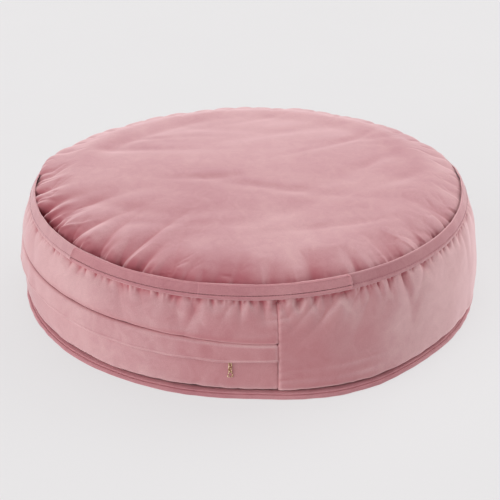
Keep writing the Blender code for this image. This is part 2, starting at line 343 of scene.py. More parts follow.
def crease_field(angle, run, creases, seam_start=0.5):
    """How far the creases push a panel in, on a grid of angles (degrees, even steps) by distances."""
    field = np.zeros((len(angle), len(run)))
    step = angle[1] - angle[0]
    onset = seam_start + (1.0 - seam_start) * smoothstep(run / 0.008)
    for centre, depth, width, reach, slant, spread in creases:
        rows = np.nonzero(run < 2.2 * reach)[0]
        line = centre + slant * run[rows] / DEGREE
        half = width * (1.0 + spread * run[rows] / reach)
        window = 3.2 * half.max() / DEGREE + np.abs(line - centre).max()
        first = math.floor(((centre - window - angle[0] + 180.0) % 360.0 - 180.0) / step)
        count = min(len(angle), 2 * math.ceil(window / step) + 2)
        columns = first + np.arange(count)
        around = round(360.0 / step) if abs(len(angle) * step - 360.0) < step else None
        if around:
            columns %= around
        else:
            columns = columns[(columns >= 0) & (columns < len(angle))]
        if not len(columns):
            continue
        away = (angle[columns][:, None] - line[None, :] + 180.0) % 360.0 - 180.0
        shape = np.exp(-np.abs(away * DEGREE / half) ** 1.5)
        fade = np.exp(-1.3 * (run[rows] / reach) ** 2) * onset[rows]
        field[np.ix_(columns, rows)] += depth * shape * fade
    return field


def ripple(angle, run, seed, waves=(5, 26), length=0.05):
    """Slow unevenness over a panel, about -1 to 1, changing over this length away from the seam."""
    levels = int(math.ceil(run.max() / length)) + 2
    rows = np.stack([turn_noise(angle, seed + level, *waves) for level in range(levels)], axis=-1)
    place = run / length
    low = np.clip(np.floor(place).astype(int), 0, levels - 2)
    share = smoothstep(place - low)
    return rows[:, low] * (1.0 - share) + rows[:, low + 1] * share


class Panel:
    """One cloth panel: its outer face, on a grid of angles by distances along a profile, pushed in."""

    def __init__(self, line, angle, run, push, outwards=1.0, swell=0.0, move=None):
        """`move` is what simulated cloth adds: outwards, sideways and upwards, each (columns, rows)."""
        spot, normal = Profile(line).at(run)
        self.angle, self.run = angle, run
        self.normal = normal * outwards
        move = np.zeros((3, 1, 1)) if move is None else move
        self.radius = spot[:, 0] - self.normal[:, 0] * push + swell + move[0]
        self.slide = move[1] + 0.0 * push
        self.height = spot[:, 1] - self.normal[:, 1] * push + move[2]

    def face(self, depth=0.0, rows=None):
        """The outer face, or a face this far behind it, as points (columns, rows, 3)."""
        rows = slice(None) if rows is None else rows
        radius = self.radius[:, rows] - self.normal[rows, 0] * depth
        height = self.height[:, rows] - self.normal[rows, 1] * depth
        across = tangent(self.angle)[:, None, :]
        return lathe(self.angle[:, None], radius, height) + self.slide[:, rows, None] * across

    def section_shade(self, shade, every=4):
        """Shade on the outer face, none on the inner, in the order of `sections`."""
        return np.concatenate((shade, np.zeros((len(self.angle), len(self.coarse_rows(every))))), axis=1)

    def coarse_rows(self, every):
        return np.unique(np.concatenate((np.arange(0, len(self.run), every), [len(self.run) - 1])))

    def sections(self, thickness=VELVET, every=4):
        """Closed cross-sections: the outer face, then an inner face back to the start."""
        inner = self.face(thickness, self.coarse_rows(every)[::-1])
        return np.concatenate((self.face(), inner), axis=1)


# --- simulated cloth

SIM_COLUMNS = 600
SIM_FRAMES = 16
SIM_PRESSURE = 10.0
SIM_LIMIT = 0.006  # the furthest that a point may move
SIM_FADE = 0.070  # over this distance the moves die out towards the sheet's inner edge


def resample(values, known, wanted):
    """Values at known places along the first axis, read off a smooth curve at the wanted ones."""
    slope = np.gradient(values, known, axis=0)
    low = np.clip(np.searchsorted(known, wanted, side="right") - 1, 0, len(known) - 2)
    gap = (known[low + 1] - known[low])[:, None]
    share = np.clip((wanted - known[low])[:, None] / gap, 0.0, 1.0)
    start, end = values[low], values[low + 1]
    bend = share * (1.0 - share)
    return (
        start + (end - start) * smoothstep(share)
        + gap * bend * ((1.0 - share) * slope[low] - share * slope[low + 1])
    )


def blown_out(line, outwards, run, make_creases):
    """Lets a whole-turn sheet with its creases laid in settle as cloth over the filling, held along its seam
    and its inner edge. Gives its grid and how far each point moves: outwards, sideways and upwards."""
    around = turn_angles(-180.0, 360.0, SIM_COLUMNS, True)
    rest = Panel(line, around, run, make_creases(around, run), outwards).face()
    index = np.arange(SIM_COLUMNS * len(run)).reshape(SIM_COLUMNS, len(run))
    there = np.roll(index, -1, axis=0)
    quads = np.stack((index[:, :-1], index[:, 1:], there[:, 1:], there[:, :-1]), axis=-1).reshape(-1, 4)
    mesh = bpy.data.meshes.new("sheet")
    mesh.from_pydata(rest.reshape(-1, 3).tolist(), [], quads.tolist())
    sheet = bpy.data.objects.new("sheet", mesh)
    bpy.context.scene.collection.objects.link(sheet)
    held = sheet.vertex_groups.new(name="held")
    held.add(index[:, (0, -2, -1)].ravel().tolist(), 1.0, "REPLACE")
    cloth = sheet.modifiers.new("cloth", "CLOTH")
    cloth.collision_settings.use_collision = False
    settings = cloth.settings
    settings.vertex_group_mass = "held"
    settings.quality = 5
    settings.tension_stiffness = settings.compression_stiffness = 15.0
    settings.bending_stiffness = 0.5
    settings.use_pressure = True
    settings.uniform_pressure_force = outwards * SIM_PRESSURE
    settings.effector_weights.gravity = 0.0
    for frame_number in range(1, SIM_FRAMES + 1):
        bpy.context.scene.frame_set(frame_number)
    settled_mesh = sheet.evaluated_get(bpy.context.evaluated_depsgraph_get()).data
    points = np.empty(rest.size)
    settled_mesh.vertices.foreach_get("co", points)
    move = points.reshape(rest.shape) - rest
    bpy.data.objects.remove(sheet)
    bpy.data.meshes.remove(mesh)
    bpy.context.scene.frame_set(1)
    size = np.linalg.norm(move, axis=-1, keepdims=True)
    move *= np.minimum(1.0, SIM_LIMIT / np.maximum(size, 1e-9))
    turn = np.radians(around)[:, None]
    parts = (
        move[..., 0] * np.sin(turn) - move[..., 1] * np.cos(turn),
        move[..., 0] * np.cos(turn) + move[..., 1] * np.sin(turn),
        move[..., 2],
    )
    fade = smoothstep((run[-1] - run) / SIM_FADE)
    return around, run, [part * fade for part in parts]


def cloth_move(simulated, angle, run):
    """The simulated sheet's moves on a panel's own grid."""
    if simulated is None:
        return None
    around, rows, parts = simulated
    wrap = 3
    known = np.concatenate((around[-wrap:] - 360.0, around, around[:wrap] + 360.0))
    wanted = (angle + 180.0) % 360.0 - 180.0
    spread = []
    for part in parts:
        part = resample(np.concatenate((part[-wrap:], part, part[:wrap])), known, wanted)
        spread.append(resample(part.T, rows, run).T * (run <= rows[-1]))
    return np.array(spread)


# --- materials


class Shading:
    """A procedural node material, in object coordinates."""

    def __init__(self, name):
        self.material = bpy.data.materials.new(name)
        self.material.use_nodes = True
        self.tree = self.material.node_tree
        self.shader = self.tree.nodes["Principled BSDF"]
        self.place = self.tree.nodes.new("ShaderNodeTexCoord").outputs["Object"]

    def link(self, source, target):
        self.tree.links.new(source, target)

    def node(self, kind, output, inputs=None, **settings):
        """A node with these inputs, sockets or plain values, and these settings. Gives one of its outputs."""
        node = self.tree.nodes.new("ShaderNode" + kind)
        for key, value in settings.items():
            setattr(node, key, value)
        for key, value in (inputs or {}).items():
            if isinstance(value, bpy.types.NodeSocket):
                self.link(value, node.inputs[key])
            else:
                node.inputs[key].default_value = value
        return node.outputs[output]

    def noise(self, scale, detail=3.0, roughness=0.55, distortion=0.0, stretch=None):
        place = self.place
        if stretch:
            place = self.node("Mapping", "Vector", {"Vector": place, "Scale": stretch})
        return self.node("TexNoise", "Fac", {
            "Vector": place, "Scale": scale, "Detail": detail, "Roughness": roughness,
            "Distortion": distortion})

    def ramp(self, source, *stops):
        colour = self.node("ValToRGB", "Color", {"Fac": source})
        elements = colour.node.color_ramp.elements
        for element, (position, value) in zip(elements, stops):
            element.position, element.color = position, (*value, 1.0)
        return colour

    def scale(self, source, low, high, out_low=0.0, out_high=1.0):
        return self.node("MapRange", "Result", {
            "Value": source, "From Min": low, "From Max": high, "To Min": out_low, "To Max": out_high})

    def mix(self, factor, first, second, mode="MIX"):
        first, second = ((*part, 1.0) if isinstance(part, tuple) else part for part in (first, second))
        return self.node("Mix", 2, {0: factor, 6: first, 7: second}, data_type="RGBA", blend_type=mode)

    def sum(self, first, second, first_share=1.0, second_share=1.0):
        part = self.node("Math", "Value", {0: second, 1: second_share}, operation="MULTIPLY")
        return self.node("Math", "Value", {0: first, 1: first_share, 2: part}, operation="MULTIPLY_ADD")

    def bump(self, height, strength, distance):
        normal = self.node("Bump", "Normal", {"Strength": strength, "Distance": distance, "Height": height})
        self.link(normal, self.shader.inputs["Normal"])

    def leaning(self, direction):
        """How squarely the surface faces a fixed direction of the room, -1 to 1."""
        normal = self.node("NewGeometry", "Normal")
        return self.node("VectorMath", "Value", {0: normal, 1: direction}, operation="DOT_PRODUCT")

    def pointiness(self):
        return self.node("NewGeometry", "Pointiness")

    def colour(self, source):
        self.link(source, self.shader.inputs["Base Color"])

    def set(self, **values):
        for key, value in values.items():
            self.shader.inputs[key.replace("_", " ")].default_value = value


def velvet_material(name, deep, pale, sheen=0.85, pile=1.0, shade_direction=None, facing_shade=0.0, turned=(0.12, 0.56),
                    wear_and_highlight=0.40):
    """Short-pile velvet: soft patches where the nap lies another way, a fine pile, and a pale rim of painted
    sheen.
    What faces the given direction and the hollows take painted shade; ridges take wear and painted highlight."""
    m = Shading(name)
    patches = m.noise(5.5, 3.0, 0.5, 0.6)
    mottle = m.noise(46.0, 4.0, 0.6, 1.2)
    speckle = m.noise(900.0, 2.0, 0.6)
    nap = m.sum(patches, mottle, 0.65, 0.35)
    base = m.ramp(nap, (0.30, deep), (0.68, pale))
    grain = m.scale(speckle, 0.3, 0.7, 0.90, 1.07)
    base = m.mix(1.0, base, grain, "MULTIPLY")
    # Painted shade: the darker tint that stands in for shade wherever the velvet is darkened below.
    shade_colour = tuple(part * share for part, share in zip(deep, PAINTED_SHADE_TINT))
    if shade_direction:
        # Painted shade on what faces the given direction, over the range of facing given by `turned`.
        base = m.mix(m.scale(m.leaning(shade_direction), *turned, 0.0, facing_shade), base, shade_colour)
    # Painted shade in hollows, where the surface curves inwards.
    base = m.mix(m.scale(m.pointiness(), 0.495, 0.44, 0.0, 0.65), base, shade_colour)
    # Painted shade that the mesh carries: in creases, along seams and under the welt.
    painted_shade = m.node("Attribute", "Fac", attribute_name="painted_shade")
    base = m.mix(m.scale(painted_shade, 0.0, 1.0, 0.0, 0.9), base, shade_colour)
    # Ridges are paler: worn pile and painted highlight.
    ridge_wear_and_highlight = m.scale(m.pointiness(), 0.505, 0.56, 0.0, wear_and_highlight)
    base = m.mix(ridge_wear_and_highlight, base, tuple(min(1.0, 1.25 * part) for part in pale))
    # Painted sheen: the colour is paler where the surface turns away from the view.
    edge = m.scale(m.node("LayerWeight", "Facing", {"Blend": 0.35}), 0.15, 0.95, 0.0, 0.34)
    base = m.mix(edge, base, tuple(min(1.0, 1.45 * part) for part in pale))
    m.colour(base)
    rough = m.scale(mottle, 0.3, 0.7, 0.78, 0.95)
    m.link(rough, m.shader.inputs["Roughness"])
    m.set(Sheen_Weight=sheen, Sheen_Roughness=0.38, Sheen_Tint=SHEEN_PINK, Specular_IOR_Level=0.08)
    weave = m.noise(340.0, 2.0, 0.5, 0.0, (1.0, 1.0, 2.4))
    m.bump(m.sum(m.sum(speckle, weave, 0.6, 0.5), mottle, 1.0, 0.8), 0.35 * pile, 0.0006)
    return m.material


def metal_material(name):
    m = Shading(name)
    cloud = m.noise(420.0, 3.0, 0.6)
    # Random patches from dark brown to cream stand in for the gold's shade and glints: painted shade and
    # painted highlight.
    m.colour(m.ramp(cloud, (0.38, (0.40, 0.24, 0.10)), (0.60, (1.0, 0.84, 0.55))))
    m.link(m.scale(cloud, 0.3, 0.7, 0.16, 0.34), m.shader.inputs["Roughness"])
    m.set(Metallic=1.0)
    m.bump(m.noise(1500.0, 2.0), 0.12, 0.0002)
    return m.material


def cloth_material(name, dark, light, rough=0.9, weave=1400.0, bump=0.4, sheen=0.1):
    """Plain woven or bonded cloth: fine threads both ways over slow changes of tone."""
    m = Shading(name)
    slow = m.noise(14.0, 3.0)
    across = m.noise(weave, 2.0, 0.6, 0.0, (1.0, 1.0, 0.25))
    along = m.noise(weave, 2.0, 0.6, 0.0, (0.25, 0.25, 1.0))
    thread = m.sum(across, along, 0.5, 0.5)
    m.colour(m.ramp(m.sum(slow, thread, 0.5, 0.5), (0.35, dark), (0.65, light)))
    m.link(m.scale(thread, 0.3, 0.7, rough - 0.1, min(1.0, rough + 0.08)), m.shader.inputs["Roughness"])
    m.set(Sheen_Weight=sheen, Sheen_Roughness=0.5, Specular_IOR_Level=0.3)
    m.bump(thread, bump, 0.0004)
    return m.material


def nylon_material(name, dark, light):
    m = Shading(name)
    cloud = m.noise(260.0, 3.0)
    m.colour(m.ramp(cloud, (0.35, dark), (0.65, light)))
    m.link(m.scale(cloud, 0.3, 0.7, 0.34, 0.52), m.shader.inputs["Roughness"])
    m.bump(m.noise(1300.0, 2.0), 0.15, 0.0002)
    return m.material


SHEEN_PINK = (1.0, 0.80, 0.82, 1.0)
DEEP_PINK = (0.452, 0.205, 0.231)
PALE_PINK = (0.606, 0.355, 0.368)
# Tint of the painted shade, times the deep pink.
PAINTED_SHADE_TINT = (0.79, 0.38, 0.43)
velvet = velvet_material("velvet_nap", DEEP_PINK, PALE_PINK)
# Painted shade where the top faces the front and left, and where the welts face the front and right.
top_velvet = velvet_material("velvet_top", DEEP_PINK, PALE_PINK, shade_direction=(-0.62, -0.78, 0.0), facing_shade=0.66,
                             turned=(0.08, 0.56), wear_and_highlight=0.10, sheen=0.75)
welt_velvet = velvet_material("velvet_welt", DEEP_PINK, PALE_PINK, shade_direction=(0.92, -0.38, 0.0), facing_shade=0.38,
                              turned=(0.10, 0.80))
# A paler copy of the velvet, painted light, with painted shade where the band faces the front.
lit_band_velvet = velvet_material(
    "velvet_band_lit", (0.527, 0.258, 0.278), (0.684, 0.430, 0.437), shade_direction=(0.14, -0.99, 0.0), facing_shade=0.50,
    turned=(0.86, 1.0))
# A darker copy of the velvet, painted shade, for the strap and the base welt.
shaded_strap_velvet = velvet_material("velvet_strap_shaded", (0.440, 0.175, 0.201), (0.572, 0.282, 0.299), 0.7, 1.2)
thread = cloth_material("sewing_thread", (0.26, 0.085, 0.105), (0.36, 0.13, 0.155), 0.7, 2400.0, 0.5)
gold = metal_material("gold_plated")
tape_cloth = cloth_material("zip_tape_weave", (0.34, 0.15, 0.18), (0.46, 0.23, 0.26))
coil_nylon = nylon_material("zip_coil_nylon", (0.38, 0.17, 0.20), (0.50, 0.26, 0.29))
case_cloth = cloth_material("case_nonwoven", (0.70, 0.69, 0.67), (0.84, 0.83, 0.81), 0.92, 700.0, 0.5)
fibre = cloth_material("fibre_fill_loft", (0.82, 0.82, 0.80), (0.93, 0.93, 0.92), 0.95, 380.0, 0.8, 0.3)

# --- top and bottom panels

DOME_LINE = (
    (0.3240, 0.1428), (0.3216, 0.1450), (0.3190, 0.1494), (0.3156, 0.1556), (0.3098, 0.1621),
    (0.3000, 0.1678), (0.2850, 0.1719), (0.2600, 0.1753), (0.2200, 0.1788), (0.1600, 0.1822),
    (0.0850, 0.1846), (0.0, 0.1853),
)
# By angle: how deep the fine and the broad gathers are, how full the dome stands over the welt at the back
# and at the sides, and how much painted shade darkens its rim.
DOME_STRENGTH = (
    (-180, 0.07), (-125, 0.07), (-104, 0.12), (-92, 0.32), (-80, 1.0), (-60, 1.3), (-30, 1.3), (-14, 0.62),
    (0, 0.30), (20, 0.30), (38, 0.55), (58, 0.85), (72, 0.55), (84, 0.20), (110, 0.07),
)
DOME_DEPTH = (
    (-180, 0.12), (-120, 0.12), (-100, 0.20), (-84, 0.85), (-70, 1.25), (-30, 1.4), (-10, 1.0), (8, 0.4),
    (35, 0.5), (55, 0.8), (72, 0.45), (90, 0.15),
)
BACK_FULLNESS = ((-180, 1.0), (-104, 1.0), (-97, 0.5), (-90, 0.0), (94, 0.0), (103, 0.5), (112, 1.0))
CORNER_FULLNESS = (
    (-180, 0.0), (-116, 0.0), (-104, 1.0), (-74, 1.0), (-56, 0.0), (62, 0.0), (80, 0.8), (108, 0.8),
    (118, 0.0),
)
DOME_EDGE_SHADE = (
    (-180, 0.05), (-95, 0.1), (-80, 0.5), (-60, 0.75), (-25, 0.50), (0, 0.20), (20, 0.10), (70, 0.12),
    (95, 0.05),
)
DISC_COLUMNS = 1200
BASE_LINE = (
    (0.3318, 0.0062), (0.3285, 0.0030), (0.3200, 0.0010), (0.3000, 0.0004), (0.1500, 0.0004), (0.0, 0.0004),
)


def soft_creases(points, seed, count, tilt):
    """Long shallow creases over a disc, running mostly from side to side."""
    rng = np.random.default_rng(seed)
    total = np.zeros(points.shape[:-1])
    for _ in range(count):
        centre = rng.uniform(-0.25, 0.25, 2)
        turn = math.radians(rng.normal(tilt, 22.0))
        east, north = points[..., 0] - centre[0], points[..., 1] - centre[1]
        along = east * math.cos(turn) + north * math.sin(turn)
        across = north * math.cos(turn) - east * math.sin(turn) + rng.normal(0.0, 1.1) * along**2
        length, width = rng.uniform(0.06, 0.15), rng.uniform(0.008, 0.017)
        total += rng.uniform(0.3, 1.0) * np.exp(-((along / length) ** 2) - (across / width) ** 2)
    return total


def column_steps(run):
    """Each ring keeps one column in this many, fewer towards the middle."""
    return 2 ** np.searchsorted(np.array([0.075, 0.150, 0.235, 0.275]), run)


def ring_order(panel, outer, inner):
    """Rows of the outer face from the middle out to the seam, then of the inner face back to the middle."""
    rows = panel.coarse_rows(4)
    outer_steps, inner_steps = column_steps(panel.run), column_steps(panel.run[rows])
    rings = [outer[::outer_steps[row], row] for row in range(len(panel.run))][::-1]
    return rings + [inner[::inner_steps[place], place] for place in range(len(rows))]


def disc_rings(panel, thickness, lift=None):
    """A disc's two faces as rings. `lift` raises what is inside its rim."""
    faces = panel.face(), panel.face(thickness, panel.coarse_rows(4))
    if lift:
        for face in faces:
            face[..., 2] += lift(face)
    return [settle(ring) for ring in ring_order(panel, *faces)]


def ring_shade(panel, shade):
    """Shade on the outer face, none on the inner, in the order of `disc_rings`."""
    return ring_order(panel, shade, np.zeros((len(panel.angle), len(panel.coarse_rows(4)))))


def build_top_panel():
    middle = Profile(DOME_LINE).length - 0.006
    run = spaced((0.046, 0.0014), (0.100, 0.0023), (0.150, 0.0038), (middle, 0.0062))
    angle = turn_angles(-180.0, 360.0, DISC_COLUMNS, True)
    broad = np.vstack((
        gathers(12, 0.0165, 0.0052, 0.0042, 0.038, DOME_STRENGTH, 0.20),
        gathers(13, 0.0430, 0.0066, 0.0078, 0.090, DOME_DEPTH, 0.30),
    ))
    fine = gathers(11, 0.0085, 0.0016, 0.0019, 0.016, DOME_STRENGTH)
    ridges = gathers(14, 0.0210, 0.0027, 0.0018, 0.042, DOME_STRENGTH, 0.22)
    push = crease_field(angle, run, np.vstack((broad, fine)), 0.1) - crease_field(angle, run, ridges, 0.1)
    simulated = blown_out(
        DOME_LINE, -1.0, spaced((0.105, 0.0034), (0.125, 0.005)),
        lambda around, out: crease_field(around, out, broad, 0.1))
    rim = smoothstep(run / 0.02) * smoothstep((0.2 - run) / 0.1)
    push += 0.0014 * ripple(angle, run, 60, (4, 18), 0.06) * rim
    # At the back the filling stands over the welt.
    push -= by_angle(angle, BACK_FULLNESS)[:, None] * 0.0062 * bell(run - 0.022, 0.020)
    push -= by_angle(angle, CORNER_FULLNESS)[:, None] * 0.0042 * bell(run - 0.017, 0.014)
    # Painted shade in the deeper creases near the rim and along the rim by the welt.
    valleys = smoothstep((push - 0.0006) / 0.0046) * np.exp(-run / 0.055)
    edge = by_angle(angle, DOME_EDGE_SHADE)[:, None] * bell(run, 0.026)
    shade = np.clip(0.70 * valleys + edge, 0.0, 1.0)
    panel = Panel(DOME_LINE, angle, run, push, outwards=-1.0, move=cloth_move(simulated, angle, run))

    def lift(points):
        inside = smoothstep((0.30 - np.hypot(points[..., 0], points[..., 1])) / 0.08)
        return -0.0022 * soft_creases(points, 41, 26, 15.0) * inside

    rings = disc_rings(panel, VELVET, lift)
    piece = disc_piece("cover_top", rings, [top_velvet], shade=ring_shade(panel, shade))
    finish_piece(piece, "cushion", "velvet", "top_panel")


def build_bottom_panel():
    run = spaced((0.030, 0.0022), (0.080, 0.0045), (Profile(BASE_LINE).length - 0.008, 0.0085))
    angle = turn_angles(-180.0, 360.0, DISC_COLUMNS // 2, True)
    creases = gathers(21, 0.0140, 0.0009, 0.0030, 0.014, None, 0.15)
    push = crease_field(angle, run, creases) * smoothstep(run / 0.004)
    flare = by_angle(angle, FLARE)[:, None] * smoothstep(1.0 - run / 0.05)
    panel = Panel(BASE_LINE, angle, run, push, swell=flare)

    def lift(points):
        return 0.0012 * soft_creases(points, 43, 20, 30.0)

    piece = disc_piece("cover_base", disc_rings(panel, VELVET, lift), [velvet])
    finish_piece(piece, "cushion", "velvet", "bottom_panel")


# --- side band

BULGE = (
    (-180, 0.0), (-150, 0.1), (-120, 0.4), (-90, 0.6), (-60, 0.45), (-35, 0.15), (-10, 0.0), (25, 0.0),
    (50, 0.8), (70, 1.3), (90, 1.15), (130, 0.6), (160, 0.15),
)
BAND_STRENGTH = (
    (-180, 0.8), (-120, 0.7), (-90, 0.45), (-70, 0.55), (-50, 0.8), (-25, 1.05), (0, 1.1), (12, 1.25),
    (30, 1.2), (50, 1.0), (70, 0.85), (90, 0.7), (130, 0.8),
)
PLAIN_LINE = (
    (0.3246, 0.1450), (0.3272, 0.1412), (0.3312, 0.1310), (0.3352, 0.1170), (0.3384, 0.1000),
    (0.3404, 0.0800), (0.3412, 0.0600), (0.3409, 0.0400), (0.3402, 0.0270), (0.3396, 0.0195),
    (0.3380, 0.0146), (0.3350, 0.0116), (0.3314, 0.0100), (0.3284, 0.0086),
)
ABOVE_LINE = (
    (0.3246, 0.1450), (0.3272, 0.1412), (0.3312, 0.1310), (0.3352, 0.1170), (0.3382, 0.1030),
    (0.3397, 0.0955), (0.3399, 0.0920), (0.3388, 0.0893), (0.3366, 0.0880), (0.3344, 0.0884),
)
BELOW_LINE = (
    (0.3352, 0.0660), (0.3372, 0.0618), (0.3386, 0.0560), (0.3391, 0.0450), (0.3392, 0.0340),
    (0.3394, 0.0260), (0.3391, 0.0195), (0.3376, 0.0146), (0.3347, 0.0116), (0.3312, 0.0100),
    (0.3282, 0.0086),
)
FLAP_LINE = (
    (0.3350, 0.0890), (0.3380, 0.0881), (0.3401, 0.0852), (0.3411, 0.0798), (0.3418, 0.0720),
    (0.3425, 0.0640), (0.3429, 0.0600),
)
# How far the flap's free edge stands off at the back, so that the chain hangs clear. It rises twice as far.
FLAP_LIFT = ((-180, 0.0016), (-158, 0.0016), (-140, 0.0), (160, 0.0))
# How much higher than drawn the zip's crease lies, by angle.
CREASE_RISE = (
    (-180, 0.0), (-100, 0.0012), (-60, 0.0012), (-24, 0.0014), (-11, -0.0010), (1, -0.0050), (6.6, -0.0064),
)
CREASE_HEIGHT = 0.0872
BAND_RADIUS = 0.341
# How far the foot flares outwards.
FLARE = (
    (-180, 0.0), (-20, 0.0), (-2, 0.0002), (2, 0.0010), (5, 0.0032), (13, 0.0098), (20, 0.0138), (30, 0.0138),
    (38, 0.0088), (47, 0.0062), (60, 0.0060), (80, 0.0050), (100, 0.0025), (120, 0.0),
)
SEAM_SHADOW = 0.0017
LOW_CREASES = ((0, 0.5), (6.6, 0.9), (20, 1.0), (34, 0.5), (55, 0.1), (90, 0.15), (140, 0.5), (180, 0.3))
ZIP_VALLEY = ((-180, 1.0), (-34, 1.0), (-14, 0.25), (6.6, 0.0))


def bulged(angle, height, peak=0.0036, middle=0.045, spread=0.050):
    """Extra radius where the band leans out at the sides and its foot flares, right of the front."""
    lean = by_angle(angle, BULGE)[:, None] * peak * bell(height - middle, spread)
    return lean + by_angle(angle, FLARE)[:, None] * bell(np.maximum(height - 0.006, 0.0), 0.032)


# Soft folds that run down and back towards the join seam: angle, depth, width, reach, slant, spread.
DRAWN_FOLDS = (
    (12.5, 0.0016, 0.0045, 0.040, -0.75, 0.8),
    (17.0, 0.0022, 0.0055, 0.055, -0.90, 0.8),
    (22.5, 0.0026, 0.0060, 0.062, -0.95, 0.8),
    (27.5, 0.0020, 0.0055, 0.050, -0.70, 0.8),
    (36.0, 0.0018, 0.0065, 0.060, -0.45, 0.8),
    (-3.0, 0.0016, 0.0050, 0.040, -0.60, 0.8),
    (-14.0, 0.0016, 0.0055, 0.045, 0.55, 0.8),
    (-27.0, 0.0018, 0.0060, 0.045, 0.50, 0.8),
)


def broad_gathers(angle, run):
    creases = np.vstack((
        np.array(DRAWN_FOLDS),
        gathers(32, 0.0150, 0.0036, 0.0030, 0.018, BAND_STRENGTH, 0.22),
        gathers(33, 0.0460, 0.0026, 0.0066, 0.056, BAND_STRENGTH, 0.40),
    ))
    return crease_field(angle, run, creases, 0.7)


def top_gathers(angle, run):
    creases = gathers(31, 0.0080, 0.0022, 0.0017, 0.008, BAND_STRENGTH, 0.12)
    ridges = gathers(34, 0.0160, 0.0009, 0.0014, 0.012, BAND_STRENGTH, 0.12)
    fine = crease_field(angle, run, creases, 0.7)
    return broad_gathers(angle, run) + fine - crease_field(angle, run, ridges, 0.6)


def band_shade(gathered, run):
    """Painted shade in the gathers, and painted shadow right under the welt."""
    notches = smoothstep((gathered - 0.0010) / 0.0036) * np.exp(-run / 0.016)
    return 0.9 * notches + 0.35 * bell(run, 0.0045)


def seam_shade(angle, run):
    """Painted shade along the join seams and along the foot."""
    return 0.9 * bell(from_ends(angle), SEAM_SHADOW)[:, None] + 0.9 * bell(run.max() - run, 0.0060)


def band_cloth(angle, run):
    """What simulated cloth adds below the top seam, dying out towards the join seams."""
    move = cloth_move(band_simulated, angle, run)
    if move is None:
        return None
    return move * smoothstep(from_ends(angle) / 0.012)[:, None]


def base_gathers(angle, run, seed):
    creases = np.vstack((
        gathers(seed, 0.0110, 0.0007, 0.0022, 0.008, None, 0.10),
        gathers(seed + 1, 0.0380, 0.0011, 0.0055, 0.026, None, 0.30),
    ))
    return crease_field(angle, run.max() - run, creases)


def end_tuck(angle, depth=0.0015, width=0.0012):
    """The panel dips into the join seam at each of its ends."""
    return (depth * bell(from_ends(angle), width, 1.4))[:, None]


def join_puckers(angle, run, seed):
    """Short creases that run out sideways from a join seam."""
    rng = np.random.default_rng(seed)
    near = from_ends(angle)[:, None]
    total = np.zeros((len(angle), len(run)))
    for middle in np.arange(0.006, run.max(), 0.011):
        middle += rng.uniform(-0.003, 0.003)
        lean = rng.normal(0.0, 0.25)
        across = run[None, :] - middle - lean * near
        total += rng.uniform(0.3, 1.0) * np.exp(-((across / 0.0026) ** 2) - near / rng.uniform(0.006, 0.016))
    return 0.0009 * total


band_simulated = blown_out(PLAIN_LINE, 1.0, spaced((0.060, 0.0033)), broad_gathers)


def half_angles(start, gap=0.001):
    """Half a turn, short of the join seam by this gap (degrees) at each end."""
    return turn_angles(start + gap, 180.0 - 2.0 * gap, HALF_COLUMNS, False)


def band_panel(line, angle, run, push, move=None):
    spot, _ = Profile(line).at(run)
    return Panel(line, angle, run, push, swell=bulged(angle, spot[:, 1]), move=move)


def build_plain_band():
    run = spaced((0.030, 0.0013), (0.120, 0.0022), (Profile(PLAIN_LINE).length, 0.0013))
    angle = half_angles(JOIN_ANGLE)
    gathered = top_gathers(angle, run)
    shade = np.clip(band_shade(gathered, run) + seam_shade(angle, run), 0.0, 1.0)
    push = gathered + base_gathers(angle, run, 51) + end_tuck(angle) + join_puckers(angle, run, 71)
    push += 0.0012 * ripple(angle, run, 80, (6, 30), 0.035) * smoothstep(run / 0.02)
    low_creases = bell(run - 0.118, 0.0045) + 0.7 * bell(run - 0.104, 0.0035)
    where = by_angle(angle, LOW_CREASES)
    push += 0.0011 * where[:, None] * low_creases * (0.75 + 0.25 * turn_noise(angle, 5, 6, 24)[:, None])
    panel = band_panel(PLAIN_LINE, angle, run, push, band_cloth(angle, run))
    sections, shade = settle(panel.sections()), panel.section_shade(shade)
    piece = loop_piece("band_plain", sections, False, [lit_band_velvet], shade=shade)
    finish_piece(piece, "cushion", "velvet", "side_band_plain")


def rise_to_crease(points, angle, top, foot):
    """Raises what lies near the zip's crease, and less and less of it towards the top and foot."""
    height = points[..., 2]
    above, below = (top - height) / (top - CREASE_HEIGHT), (height - foot) / (CREASE_HEIGHT - foot)
    share = np.where(height > CREASE_HEIGHT, above, below)
    points[..., 2] = height + by_angle(angle, CREASE_RISE)[:, None] * np.clip(share, 0.0, 1.0)
    return points


def build_band_above_zip(angle):
    run = spaced((0.030, 0.0013), (0.046, 0.0022), (Profile(ABOVE_LINE).length, 0.0011))
    gathered = top_gathers(angle, run)
    push = gathered + join_puckers(angle, run, 72) + end_tuck(angle)
    middle = smoothstep(run / 0.02) * smoothstep((0.058 - run) / 0.015)
    push += 0.0011 * ripple(angle, run, 84, (6, 30), 0.035) * middle
    valley = by_angle(angle, ZIP_VALLEY)[:, None]
    push += 0.0026 * valley * bell(run.max() - run, 0.0095)
    # Painted shadow along the fold at the zip's crease.
    creased = 0.45 * (0.4 + 0.6 * valley) * bell(run.max() - run - 0.006, 0.0062)
    shade = np.clip(band_shade(gathered, run) + seam_shade(angle, run) + creased, 0.0, 1.0)
    panel = band_panel(ABOVE_LINE, angle, run, push, band_cloth(angle, run))
    sections = settle(rise_to_crease(panel.sections(), angle, 0.140, 0.0))
    piece = loop_piece("band_above_zip", sections, False, [lit_band_velvet], shade=panel.section_shade(shade))
    finish_piece(piece, "cushion", "velvet", "side_band_above_zip")


